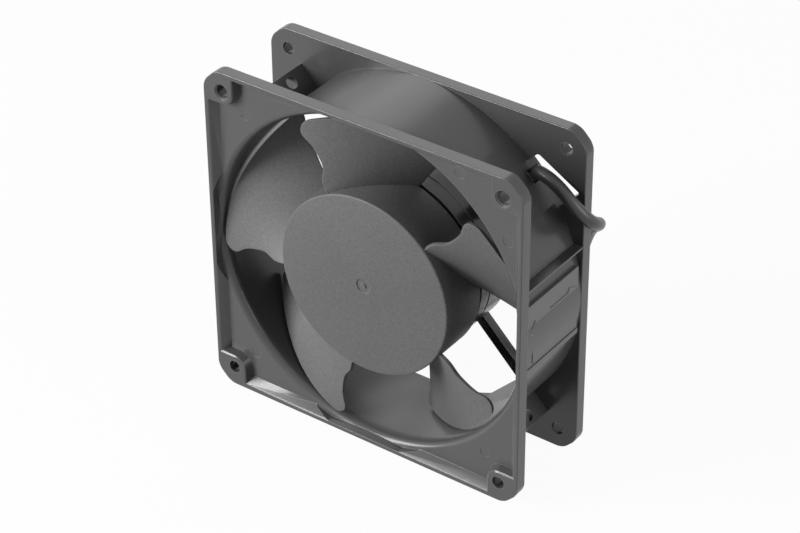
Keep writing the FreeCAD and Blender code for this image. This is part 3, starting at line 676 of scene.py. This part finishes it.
@dataclass(frozen=True)
class SoftBox:
    """A large square lamp that points at the fan, its place and size in metres."""

    name: str
    place: Triple
    size: float
    power: float

    def build(self) -> None:
        """Put the lamp up."""
        clear_selection()
        bpy.ops.object.light_add(type="AREA", location=self.place)
        lamp = bpy.context.object
        lamp.name = self.name
        lamp.data.shape = "SQUARE"
        lamp.data.size = self.size
        lamp.data.energy = self.power
        aim = Vector(at(0, 0, 0)) - Vector(self.place)
        lamp.rotation_euler = aim.to_track_quat("-Z", "Y").to_euler()


@dataclass(frozen=True)
class Studio:
    """White floor and background with soft lamps."""

    lamps: tuple[SoftBox, ...] = (
        SoftBox("key_front_left", (-0.70, -0.82, 0.45), 0.6, 18.0),
        SoftBox("top_rear", (-0.42, 0.55, 0.62), 0.42, 0.7),
        SoftBox("side_right", (1.3, 0.10, 0.55), 0.8, 8.5),
    )
    sky: float = 0.11
    floor_size: float = 12.0
    floor_colour: float = 0.30
    floor_seen_colour: float = 0.86
    floor_glow: float = 0.95

    def build(self) -> None:
        """Lay the floor, light the world and put the lamps up."""
        bpy.context.scene.view_settings.view_transform = "Standard"
        self._world()
        self._floor()
        for lamp in self.lamps:
            lamp.build()

    def _world(self) -> None:
        """Even light, and plain white where the background is seen or mirrored."""
        world = bpy.data.worlds.new("studio_world")
        bpy.context.scene.world = world
        sheet = NodeSheet.blank(world)
        light = sheet.add("ShaderNodeBackground", {"Color": WHITE, "Strength": self.sky})
        white = sheet.add("ShaderNodeBackground", {"Color": WHITE})
        chosen = sheet.mix(sheet.seen(), light, white)
        sheet.add("ShaderNodeOutputWorld", {"Surface": chosen.outputs[0]})

    def _floor(self) -> None:
        """Pale floor that keeps a faint shadow and throws little light back at the fan."""
        clear_selection()
        bpy.ops.mesh.primitive_plane_add(size=self.floor_size, location=(0, 0, 0))
        floor = bpy.context.object
        floor.name = "studio_floor"
        material = bpy.data.materials.new("pale_floor")
        sheet = NodeSheet.blank(material)
        plain, pale = (sheet.add("ShaderNodeBsdfDiffuse", {"Color": (grey, grey, grey, 1)})
                       for grey in (self.floor_colour, self.floor_seen_colour))
        bright = sheet.mix(self.floor_glow, pale, sheet.add("ShaderNodeEmission", {"Strength": 1.0}))
        chosen = sheet.mix(sheet.seen(), plain, bright)
        sheet.add("ShaderNodeOutputMaterial", {"Surface": chosen.outputs[0]})
        floor.data.materials.append(material)


@dataclass(frozen=True)
class LeadCable:
    """Two-core lead that leaves the duct at its upper right corner, in millimetres above the floor."""

    radius: float = 2.1
    length: float = 270.0
    steps_round: int = 6
    steps_along: int = 12
    exit: Triple = (36.982, 15.7, 94.643)
    bend: Triple = (41.083, 15.7, 98.744)
    route: tuple[Triple, ...] = (
        (43.8, 12.7, 102.4), (51.6, 11.0, 101.4), (58.7, 10.8, 95.6), (62.7, 14.4, 89.4), (61.0, 22.4, 84.6),
        (53.2, 28.2, 77.0), (47.6, 31.0, 60.0), (44.4, 31.6, 40.0), (42.8, 31.6, 22.0), (41.2, 34.4, 8.6),
        (38.0, 40.6, 2.3), (30.6, 50.6, 2.2), (22.0, 60.4, 2.2), (14.2, 71.4, 2.2), (2.0, 80.0, 2.2),
        (-12.6, 82.2, 2.2), (-26.4, 77.4, 2.2), (-38.2, 68.8, 2.2), (-44.0, 55.0, 2.2), (-43.0, 44.5, 2.2),
        (-34.2, 38.2, 2.2),
    )

    def build(self, rack: FinishRack) -> None:
        """Lay the cable on its route.

        Args:
            rack: The finishes.
        """
        points = [Vector(point) * MM for point in (self.exit, self.bend, *self.route)]
        line = bpy.data.curves.new("lead_cable", "CURVE")
        line.dimensions = "3D"
        line.bevel_depth = self.radius * MM
        line.bevel_resolution = self.steps_round
        line.use_fill_caps = True
        line.resolution_u = self.steps_along
        spline = line.splines.new("NURBS")
        spline.points.add(len(points) - 1)
        for point, place in zip(spline.points, points):
            point.co = (*place, 1.0)
        spline.order_u = 3
        spline.use_endpoint_u = True
        cable = bpy.data.objects.new("lead_cable", line)
        bpy.context.scene.collection.objects.link(cable)
        rack.dress(cable, "cable_sheath")
        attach(cable, Body.STANDING.value)
        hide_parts("free_cable")


@dataclass(frozen=True)
class Housing:
    """The moulded frame: two square flanges, a duct between them, and the motor base on its struts.

    Depths run from the inlet to the outlet. Heights are above the fan's axis. What is called across or
    reach belongs to a piece that is modelled to the right of the axis and then turned to its corner.
    """

    flange: float = 119.0
    front_y: float = -19.0
    rear_y: float = 19.0
    front_plate: float = 4.5
    rear_plate: float = 4.2
    overlap: float = 0.2
    root: float = 0.5
    steps: int = 256
    fine_edge: float = 0.15
    plain_edge: float = 0.2
    corner_cut: float = 5.0
    corner_blend: float = 5.4
    corner_steps: int = 6
    edge: float = 0.35
    rim: float = 1.5
    recess: float = 3.0
    slope: float = 2.4
    past: float = 1.0
    hole_from_axis: float = 52.4
    hole_r: float = 2.2
    mouth_r: float = 2.9
    pad_outer: float = 75.0
    pad_reach: float = 4.2
    pad_corner: float = 4.6
    pad_draft: float = 0.8
    pad_root: float = 0.8
    pad_steps: int = 10
    bore_r: float = 56.8
    bell_r: float = 59.3
    bell_depth: float = 4.2
    bell_steps: int = 8
    lip: float = 0.3
    lip_drop: float = 0.12
    outlet_r: float = 58.2
    flare_depth: float = 11.5
    duct_r: float = 59.3
    duct_flat: float = 58.1
    facet_r: float = 54.6
    facet_depth: float = 10.0
    facet_across: Limits = (-30.0, 30.0)
    facet_outer: float = 80.0
    side_x: Limits = (54.0, 58.4)
    side_z: Limits = (-11.0, 13.6)
    side_gap: float = 1.4
    rib_x: Limits = (53.0, 59.3)
    rib_z: Limits = (19.2, 20.0)
    plate_x: Limits = (58.0, 59.0)
    plate_z: Limits = (-11.1, 13.7)
    plate_gap: float = 1.3
    plate_lip_x: Limits = (58.2, 59.3)
    plate_lip_top: float = -9.0
    plate_groove_x: Limits = (58.7, 60.0)
    plate_groove: float = 0.25
    web: float = 2.0
    web_reach: float = 67.8
    web_hole_r: float = 2.15
    web_hole_inset: float = 3.4
    web_hole_y: float = 6.6
    web_hole_cut: Limits = (-3.0, 3.0)
    web_angles: Triple = (135.0, 225.0, 315.0)
    window_y: Limits = (11.5, 17.8)
    slot_reach: float = 67.9
    slot_z: Limits = (-13.5, 3.4)
    slot_lean: float = 4.5
    slot_corner: float = 0.8
    slot_rounded_from: float = 60.0
    strut_reach: Limits = (30.1, 56.8)
    strut_y: Limits = (15.5, 18.8)
    strut_across: Limits = (-3.9, 1.2)
    strut_edge: float = 0.3
    strut_bevel_z: float = -2.4
    strut_bevel: Triple = (0.0, -1.6, -1.4)
    strut_groove: Limits = (-0.05, 0.4)
    strut_groove_y: float = 17.4
    trough_y: float = 13.6
    trough_across: Limits = (-4.45, 1.85)
    channel: Limits = (-3.55, 0.95)
    before: Limits = (25.0, 60.0)
    before_y: float = 10.0
    stroke: float = 0.42
    stroke_x: Limits = (58.9, 59.25)
    stroke_edge: float = 0.06
    air_arrow: tuple[Limits, ...] = ((-1.6, 6.8), (7.7, 6.8), (8.4, 8.3), (12.1, 6.6))
    turn_arrow: tuple[Limits, ...] = ((-11.2, -8.0), (-11.2, 2.3), (-12.6, 2.9), (-10.3, 6.9))
    mark_r: float = 1.9
    mark_depth: float = 0.12
    ejector_marks: tuple[Limits, ...] = (
        (-45.4, 45.4), (35.0, 53.6), (52.6, 36.0), (-45.4, -45.4), (45.4, -45.4))
    dish: tuple[Limits, ...] = (
        (8.0, 19.0), (30.0, 19.0), (30.4, 18.92), (30.75, 18.7), (30.92, 18.4), (31.0, 18.0), (31.0, 7.7),
        (30.75, 7.5), (30.75, 7.1), (31.0, 6.9), (31.0, 2.6), (30.8, 2.4), (29.8, 2.4), (29.6, 2.6),
        (29.6, 6.5), (29.2, 6.9), (29.2, 17.0), (9.8, 17.0), (9.8, 9.7), (9.6, 9.5), (8.2, 9.5), (8.0, 9.7))
    dish_steps: int = 160
    crease: float = 32.0

    @property
    def floor(self) -> float:
        """Depth of the front recess's floor."""
        return self.front_y + self.recess

    @property
    def between(self) -> Limits:
        """Depths of the two flanges' inner faces."""
        return self.front_y + self.front_plate, self.rear_y - self.rear_plate

    @property
    def joined(self) -> Limits:
        """Depths of a piece that runs a little way into both flanges."""
        front, rear = self.between
        return front - self.overlap, rear + self.overlap

    def build(self, rack: FinishRack) -> None:
        """Model and dress the frame.

        Args:
            rack: The finishes.
        """
        shell = self._shell()
        sparked = [self._pad_plate(), *self._arrows()]
        dish = turned("motor_base_dish", self.dish, self.dish_steps, ring=True)
        pieces = [shell, dish, *self._struts(), self._trough(), *sparked]
        for piece in pieces:
            smooth(piece, self.crease)
            # The rating pad and its arrows take the pad finish, whose lighter colour is a painted sheen.
            rack.dress(piece, "moulded_frame", "sparked_pad" if piece in sparked else "")
            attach(piece, Body.STANDING.value)
        self._crisp_flats(shell)
        for piece in pieces:
            change(piece, "WEIGHTED_NORMAL", keep_sharp=True, weight=FACE_WEIGHT)
        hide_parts("front_flange", "rear_flange", "air_duct", "corner_webs")
        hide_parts("motor_base")

    def _plate(self, name: str, y: Limits) -> Piece:
        """Make one square flange, its corners cut and blended and its rims softened.

        Args:
            name: Name of the piece.
            y: Its two faces in depth.

        Returns:
            The plate.
        """
        half = self.flange / 2
        plate = block(name, (-half, half), y, (-half, half))
        open_piece(plate)
        pick_edges(plate, runs_deep)
        soften(self.corner_cut, 1)
        pick_edges(plate, runs_deep)
        soften(self.corner_blend * math.tan(math.radians(45.0 / 2)), self.corner_steps)
        pick_edges(plate, lambda a, b: abs(a.y - b.y) < 0.001)
        soften(self.edge, 3)
        return settle(plate)

    def _recess(self) -> Piece:
        """Make the front recess, which leaves the four screw pads standing.

        Returns:
            The solid to take from the flange.
        """
        lip, above = self.front_y + self.edge, self.front_y - HAIR
        wall = self.flange / 2 - self.rim
        wide = wall + self.edge + HAIR
        halves = [(wall - self.slope, self.floor), (wall - self.slope * self.edge / self.recess, lip),
                  (wide, above), (wide, above - self.past)]
        stations = [(2 * half, place) for half, place in halves]
        recess = square("recess", *stations[0])
        draw_out(stations)
        face_outwards(recess)
        for quarter in range(4):
            combine(recess, Cut.TAKE, turn(self._pad(lip, above), 90.0 * quarter))
        return recess

    def _pad(self, lip: float, above: float) -> Piece:
        """Make the solid of the screw pad at the upper right.

        Args:
            lip: Depth where its softened edge starts.
            above: Depth just in front of its face.

        Returns:
            The pad, longer than it stands, towards both faces and outwards.
        """
        reach = self.pad_outer - self.hole_from_axis + self.pad_reach
        foot, top = reach + self.pad_draft, reach - self.edge - HAIR
        stations = [(foot, self.floor + self.pad_root), (foot, self.floor),
                    (reach + self.pad_draft * self.edge / self.recess, lip),
                    (top, above), (top, above - 2 * self.past)]
        middle = self.pad_outer - foot / 2
        pad = square("screw_pad", *stations[0], middle)
        bpy.ops.mesh.select_mode(type="VERT")
        bpy.ops.mesh.select_all(action="DESELECT")
        work = bmesh.from_edit_mesh(pad.data)
        for corner in work.verts:
            corner.select_set(corner.co.x / MM < middle and corner.co.z / MM - AXIS_Z < middle)
        bmesh.update_edit_mesh(pad.data)
        bpy.ops.mesh.bevel(offset=self.pad_corner * MM, segments=self.pad_steps, affect="VERTICES")
        bpy.ops.mesh.select_all(action="SELECT")
        draw_out(stations, self.pad_outer)
        return face_outwards(pad)

    def _passage(self) -> Piece:
        """Make the air passage: outlet, bore and bell mouth, flattened where the struts stand.

        Returns:
            The solid to take from the flanges and the duct.
        """
        bell = self.floor + self.bell_depth
        out, rear = self.outlet_r, self.rear_y
        outline = [(out + self.root, rear + self.past), (out + self.edge, rear),
                   (out - HAIR, rear - self.edge), (self.bore_r, rear - self.flare_depth), (self.bore_r, bell)]
        for step in range(1, self.bell_steps + 1):
            lean = math.radians(90.0 * step / self.bell_steps)
            outline.append((self.bore_r + (self.bell_r - self.bore_r) * (1.0 - math.cos(lean)),
                            bell - self.bell_depth * math.sin(lean)))
        outer = self.bell_r + self.lip
        outline += [(outer, self.floor - self.lip_drop), (outer, self.front_y - self.past)]
        passage = turned("passage", outline, self.steps)
        inside = self.flange / 2 - self.rim
        combine(passage, Cut.KEEP, block("inside", (-inside, inside), THROUGH, (-inside, inside)))
        depths = (rear - self.facet_depth, THROUGH[1])
        drop = (self.bore_r - self.facet_r) / self.facet_depth * (depths[1] - depths[0])
        for quarter in range(4):
            wedge = block("facet", (self.bore_r, self.facet_outer), depths, self.facet_across)
            open_piece(wedge)
            pick_edges(wedge, lambda a, b: max(a.x, b.x) < self.bore_r + 0.1 and min(a.y, b.y) > rear)
            bpy.ops.transform.translate(value=(-drop * MM, 0, 0))
            combine(passage, Cut.TAKE, turn(settle(wedge), 45.0 + 90.0 * quarter))
        return passage

    def _duct(self) -> Piece:
        """Make the duct's outside with a flat towards each corner.

        Returns:
            The solid duct.
        """
        duct = turned("duct", [(self.duct_r, depth) for depth in self.joined], self.steps)
        across = (-self.duct_flat, self.duct_flat)
        return combine(duct, Cut.KEEP, turn(block("flats", across, THROUGH, across), 45.0))

    def _crisp_flats(self, shell: Piece) -> None:
        """Keep the shallow edges between the duct's flats and its round sides sharp.

        Args:
            shell: The finished shell.
        """
        half = math.sqrt(self.duct_r ** 2 - self.duct_flat ** 2)
        diagonal = math.sqrt(2)

        def on_edge(point: Vector) -> bool:
            """Whether a point lies where a flat meets a round side."""
            x, z = point.x, point.z - AXIS_Z
            across, along = sorted((abs(x + z) / diagonal, abs(x - z) / diagonal))
            return abs(along - self.duct_flat) < 0.06 and abs(across - half) < 0.6

        open_piece(shell)
        pick_edges(shell, lambda a, b: abs(a.y - b.y) > 0.5 and on_edge(a) and on_edge(b))
        bpy.ops.mesh.mark_sharp()
        settle(shell)

    def _side(self) -> list[Piece]:
        """Make the body of the rating pad and the rib above it.

        Returns:
            The two solids.
        """
        front, rear = self.joined[0], self.between[1]
        return [block("pad_body", self.side_x, (front, rear - self.side_gap), self.side_z),
                block("side_rib", self.rib_x, (front, rear + self.overlap), self.rib_z, self.fine_edge)]

    def _pad_plate(self) -> Piece:
        """Make the sparked face of the rating pad with the lip along its lower edge.

        Returns:
            The face.
        """
        front, rear = self.between
        y, top = (front, rear - self.plate_gap), self.plate_lip_top
        plate = block("rating_pad", self.plate_x, y, self.plate_z, self.plain_edge)
        lip = block("pad_lip", self.plate_lip_x, y, (self.plate_z[0], top), self.fine_edge)
        combine(plate, Cut.ADD, lip)
        line = (top - self.plate_groove, top)
        return combine(plate, Cut.TAKE, block("groove", self.plate_groove_x, (front - self.past, rear), line))

    def _webs(self) -> list[Piece]:
        """Make the three corner webs, each with a hole for an earth screw.

        Returns:
            The webs.
        """
        webs = []
        for angle in self.web_angles:
            web = block("corner_web", (self.duct_flat - self.root, self.web_reach), self.joined,
                        (-self.web / 2, self.web / 2), self.plain_edge)
            hole = rod("web_hole", self.web_hole_r, self.web_hole_cut, (0.0, 0.0), 32)
            swing(hole, math.pi / 2, "X", (self.web_reach - self.web_hole_inset, self.web_hole_y, 0.0))
            webs.append(turn(combine(web, Cut.TAKE, hole), angle))
        return webs

    def _cable_cuts(self) -> list[Piece]:
        """Make the window in the duct and the slot in the rear flange for the cable.

        Returns:
            The solids to take away.
        """
        window = block("window", (self.facet_r - 1.0, self.duct_flat + 1.0), self.window_y, self.channel)
        slot = block("slot", (self.duct_flat - self.root, self.slot_reach),
                     (self.between[1] - self.past, self.rear_y + 2 * self.past), self.slot_z)
        open_piece(slot)
        pick_edges(slot, lambda a, b: min(a.x, b.x) > self.slot_reach - 0.9 and min(a.z, b.z) > AXIS_Z)
        bpy.ops.transform.translate(value=(-self.slot_lean * MM, 0, 0))
        settle(slot)
        open_piece(slot)
        pick_edges(slot, lambda a, b: runs_deep(a, b) and a.x > self.slot_rounded_from)
        soften(self.slot_corner, 4)
        settle(slot)
        return [turn(window, 45.0), turn(slot, 45.0)]

    def _shell(self) -> Piece:
        """Make both flanges, the duct and its details as one moulding.

        Returns:
            The shell.
        """
        front, rear = self.between
        shell = self._plate("frame_shell", (self.front_y, front))
        combine(shell, Cut.ADD, self._duct(), self._plate("rear_plate", (rear, self.rear_y)), *self._side(),
                *self._webs())
        combine(shell, Cut.TAKE, self._recess(), self._passage(), *self._cable_cuts(), *self._holes())
        depths = (self.floor - self.root, self.floor + self.mark_depth)
        marks = [rod("ejector_mark", self.mark_r, depths, place) for place in self.ejector_marks]
        return combine(shell, Cut.TAKE, *marks)

    def _holes(self) -> list[Piece]:
        """Make the four screw holes, the upper front two with a wider mouth.

        Returns:
            The solids to take away.
        """
        holes = []
        for side in (-1, 1):
            for up in (-1, 1):
                place = (side * self.hole_from_axis, up * self.hole_from_axis)
                holes.append(rod("screw_hole", self.hole_r, THROUGH, place))
                if up > 0:
                    holes.append(self._mouth(place))
        return holes

    def _mouth(self, place: Limits) -> Piece:
        """Make the shallow cone that widens a hole's mouth.

        Args:
            place: The hole's place to the right of and above the axis.

        Returns:
            The cone.
        """
        clear_selection()
        deep = self.mouth_r - self.hole_r
        bpy.ops.mesh.primitive_cone_add(vertices=48, radius1=self.mouth_r * MM, radius2=self.hole_r * MM,
                                        depth=deep * MM, rotation=(-math.pi / 2, 0, 0),
                                        location=at(place[0], self.front_y + deep / 2 - HAIR, place[1]))
        return added("hole_mouth")

    def _struts(self) -> list[Piece]:
        """Make the three channel-shaped struts.

        Returns:
            The struts.
        """
        strut = block("strut_1", self.strut_reach, self.strut_y, self.strut_across, self.strut_edge)
        open_piece(strut)
        bpy.ops.mesh.bisect(plane_co=at(0, self.strut_y[0], self.strut_bevel_z), plane_no=self.strut_bevel,
                            use_fill=True, clear_outer=True)
        settle(strut)
        combine(strut, Cut.TAKE, block("groove", self.before, (self.before_y, self.strut_groove_y),
                                       self.strut_groove))
        turn(strut, self.web_angles[0])
        return [strut, *(turn(copy_of(strut, f"strut_{index + 1}"), 90.0 * index) for index in (1, 2))]

    def _trough(self) -> Piece:
        """Make the wider strut that holds the cable.

        Returns:
            The trough.
        """
        trough = block("cable_trough", self.strut_reach, (self.trough_y, self.strut_y[1]), self.trough_across,
                       self.fine_edge)
        channel = block("channel", self.before, (self.before_y, self.window_y[1]), self.channel)
        return turn(combine(trough, Cut.TAKE, channel), 45.0)

    def _arrows(self) -> list[Piece]:
        """Make the two raised arrows on the rating pad, for the air's way and the blades' way.

        Returns:
            The arrows.
        """
        arrows = []
        for name, corners in (("air_arrow", self.air_arrow), ("turn_arrow", self.turn_arrow)):
            strokes = [self._stroke(name, *ends) for ends in zip(corners, corners[1:])]
            arrows.append(combine(strokes[0], Cut.ADD, *strokes[1:]))
        return arrows

    def _stroke(self, name: str, start: Limits, end: Limits) -> Piece:
        """Make one raised stroke of an arrow on the rating pad.

        Args:
            name: Name of the stroke.
            start: Depth and height above the axis of one end.
            end: The same of the other end.

        Returns:
            The stroke.
        """
        run, half = math.dist(start, end), self.stroke / 2
        bar = block(name, self.stroke_x, (-run / 2 - half, run / 2 + half), (-half, half), self.stroke_edge)
        middle = (0.0, (start[0] + end[0]) / 2, (start[1] + end[1]) / 2)
        return swing(bar, math.atan2(end[1] - start[1], end[0] - start[0]), "X", middle)


@dataclass(frozen=True)
class Impeller:
    """Hub cup with five wide blades, in one moulding."""

    hub_r: float = 31.8
    hub_front: float = -17.5
    hub_rear: float = 0.5
    wall: float = 1.7
    face: float = 1.8
    hub_edge: tuple[Limits, ...] = ((0.6, 0.0), (0.36, 0.05), (0.16, 0.18), (0.04, 0.38), (0.0, 0.62))
    rear_edge: float = 0.2
    boss_r: Limits = (5.0, 7.4)
    boss_length: float = 5.4
    point_r: float = 0.02
    gate_r: float = 2.6
    nub_r: float = 0.9
    gate_depth: float = 0.35
    blades: int = 5
    tip_r: float = 56.0
    sink: float = 0.4
    lead_y: float = -16.5
    first_angle: float = 187.0
    wave: tuple[Limits, ...] = ((31.0, 1.0), (31.8, 1.0), (35.8, 0.8), (39.9, -1.9), (43.9, -1.9),
                                (47.9, -0.9), (52.0, 1.3), (56.0, 0.0))
    trail: Triple = (41.0, 46.7, 52.5)
    trail_mid_r: float = 44.0
    trail_curve: float = 1.3
    hub_sweep: Limits = (0.30, 0.0033)
    tip_sweep: Limits = (0.10, 0.0060)
    hub_t: float = 2.1
    tip_t: float = 1.5
    thin_edge: float = 0.6
    corner_r: Limits = (2.8, 3.2)
    columns: int = 40
    plain_rows: int = 18
    tip_rows: int = 9
    soft_edge: float = 0.35
    soft_angle: float = 50.0
    crease: float = 40.0

    def build(self, rack: FinishRack) -> None:
        """Model and dress the impeller.

        Args:
            rack: The finishes.
        """
        hub = self._hub()
        blade = self._blade("blade_1")
        others = [turn(copy_of(blade, f"blade_{index + 1}"), 360.0 / self.blades * index)
                  for index in range(1, self.blades)]
        for piece in (hub, blade, *others):
            smooth(piece, self.crease)
            rack.dress(piece, "moulded_impeller")
            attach(piece, Body.TURNING.value)
        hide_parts("impeller")

    def _hub(self) -> Piece:
        """Make the hub cup with the gate mark in its face.

        Returns:
            The hub.
        """
        front, rear, radius = self.hub_front, self.hub_rear, self.hub_r
        inner, ceiling, edge = radius - self.wall, front + self.face, self.rear_edge
        sunk, boss_end = front + self.gate_depth, ceiling + self.boss_length
        bore, boss = self.boss_r
        outline = [
            (self.point_r, front), (self.nub_r - HAIR, front), (self.nub_r, front + HAIR), (self.nub_r, sunk),
            (self.gate_r - 0.1, sunk), (self.gate_r, front + HAIR), (self.gate_r + HAIR, front),
            *((radius - inwards, front + deep) for inwards, deep in self.hub_edge),
            (radius, rear - edge), (radius - edge, rear), (inner + edge, rear), (inner, rear - edge),
            (inner, ceiling), (boss, ceiling), (boss, boss_end), (bore, boss_end), (bore, ceiling),
            (self.point_r, ceiling)]
        return turned("impeller_hub", outline)

    def _wave_at(self, radius: float) -> float:
        """Angle of the leading edge ahead of its mark, smoothly through its measured places.

        Args:
            radius: Distance from the axis.

        Returns:
            The angle in degrees.
        """
        points = self.wave
        index = max(1, next((i for i, (r, _) in enumerate(points) if r >= radius), len(points) - 1))
        (r1, a1), (r2, a2) = points[index - 1], points[index]
        before = points[index - 2] if index > 1 else points[index - 1]
        after = points[index + 1] if index + 1 < len(points) else points[index]
        share = min(max((radius - r1) / (r2 - r1), 0.0), 1.0)
        slope1 = (a2 - before[1]) / max(r2 - before[0], 0.1)
        slope2 = (after[1] - a1) / max(after[0] - r1, 0.1)
        span = r2 - r1
        cubed, squared = share ** 3, share ** 2
        return ((2 * cubed - 3 * squared + 1) * a1 + (cubed - 2 * squared + share) * span * slope1
                + (3 * squared - 2 * cubed) * a2 + (cubed - squared) * span * slope2)

    def _trail_at(self, radius: float) -> float:
        """Angle of the trailing edge behind the leading edge's mark.

        Args:
            radius: Distance from the axis.

        Returns:
            The angle in degrees.
        """
        hub, middle, tip = self.trail
        if radius < self.trail_mid_r:
            return hub + (middle - hub) * (radius - self.hub_r) / (self.trail_mid_r - self.hub_r)
        share = (radius - self.trail_mid_r) / (self.tip_r - self.trail_mid_r)
        return middle + (tip - middle) * share ** self.trail_curve

    def _corner_drop(self, radius: float, corner: float) -> float:
        """How far an edge draws back, in degrees, where it rounds into the tip.

        Args:
            radius: Distance from the axis.
            corner: Radius of the rounded corner.

        Returns:
            The angle in degrees.
        """
        beyond = radius - (self.tip_r - corner)
        if beyond <= 0:
            return 0.0
        back = corner - math.sqrt(max(corner ** 2 - beyond ** 2, 0.0))
        return math.degrees(back / radius)

    def _outwards(self, at_hub: float, at_tip: float, radius: float) -> float:
        """Value at a distance from the axis, between its values at the hub and at the tip."""
        return at_hub + (at_tip - at_hub) * (radius - self.hub_r) / (self.tip_r - self.hub_r)

    def _depth(self, radius: float, behind: float) -> float:
        """Depth of the blade's front face behind the leading edge's plane.

        Args:
            radius: Distance from the axis.
            behind: Angle behind the leading edge's mark.

        Returns:
            The depth in millimetres.
        """
        first, second = (self._outwards(*ends, radius) for ends in zip(self.hub_sweep, self.tip_sweep))
        return first * behind + second * behind ** 2

    def _radii(self) -> list[float]:
        """Distances of the blade's rows from the axis, closer together at the tip."""
        inner, corner = self.hub_r - self.sink, self.corner_r[1]
        plain = self.tip_r - corner
        rows = [inner + (plain - inner) * step / self.plain_rows for step in range(self.plain_rows + 1)]
        turns = [math.radians(90.0 * step / self.tip_rows) for step in range(1, self.tip_rows + 1)]
        return rows + [plain + corner * math.sin(angle) for angle in turns]

    def _blade(self, name: str) -> Piece:
        """Make one blade from a grid that is laid on the blade's swept surface.

        Args:
            name: Name of the blade.

        Returns:
            The blade.
        """
        clear_selection()
        rows = self._radii()
        bpy.ops.mesh.primitive_grid_add(x_subdivisions=self.columns, y_subdivisions=len(rows) - 1, size=1)
        blade = bpy.context.object
        blade.name = name
        thick = blade.vertex_groups.new(name="thickness")
        for vertex in blade.data.vertices:
            share = round((vertex.co.x + 0.5) * self.columns) / self.columns
            radius = rows[round((vertex.co.y + 0.5) * (len(rows) - 1))]
            lead = self._wave_at(radius) - self._corner_drop(radius, self.corner_r[0])
            trail = -self._trail_at(radius) + self._corner_drop(radius, self.corner_r[1])
            angle = lead + (trail - lead) * share
            x, z = polar(radius, self.first_angle + angle)
            vertex.co = Vector((x, self.lead_y + self._depth(radius, -angle), z + AXIS_Z)) * MM
            middle = math.sqrt(max(math.sin(math.pi * share), 0.0))
            full = self._outwards(self.hub_t, self.tip_t, radius)
            weight = full * (self.thin_edge + (1.0 - self.thin_edge) * middle) / self.hub_t
            thick.add([vertex.index], min(weight, 1.0), "REPLACE")
        return self._thicken(blade)

    def _thicken(self, blade: Piece) -> Piece:
        """Give a blade's sheet its thickness and soft edges.

        Args:
            blade: The blade's front sheet.

        Returns:
            The solid blade.
        """
        open_piece(blade)
        face_outwards(blade)
        if sum(face.normal.y for face in blade.data.polygons) >= 0:
            open_piece(blade)
            bpy.ops.mesh.flip_normals()
            settle(blade)
        change(blade, "SOLIDIFY", thickness=self.hub_t * MM, offset=-1.0, vertex_group="thickness",
               use_even_offset=True)
        change(blade, "BEVEL", width=self.soft_edge * MM, segments=3, limit_method="ANGLE",
               angle_limit=math.radians(self.soft_angle))
        return blade


def dress_motor(rack: FinishRack) -> None:
    """Give the motor, its bearings and the held cable, which keep their modelled shapes, their finishes.

    Args:
        rack: The finishes.
    """
    for part in frame["record"]["subparts"]:
        node = frame["nodes"][part["node"]]
        if not node.hide_render:
            rack.dress(node, part["material_slot"])


def main() -> None:
    """Build the scene in order and report each piece."""
    logging.basicConfig(level=logging.INFO, format="%(message)s")
    StudioCamera().build()
    LOG.info("camera up")
    rack = FinishRack.build()
    LOG.info("%d finishes built", len(rack.materials))
    LeadCable().build(rack)
    LOG.info("lead cable laid")
    Housing().build(rack)
    LOG.info("housing built")
    Impeller().build(rack)
    LOG.info("impeller built")
    dress_motor(rack)
    LOG.info("motor dressed")
    Studio().build()
    LOG.info("studio lit")


if __name__ == "__main__":
    main()
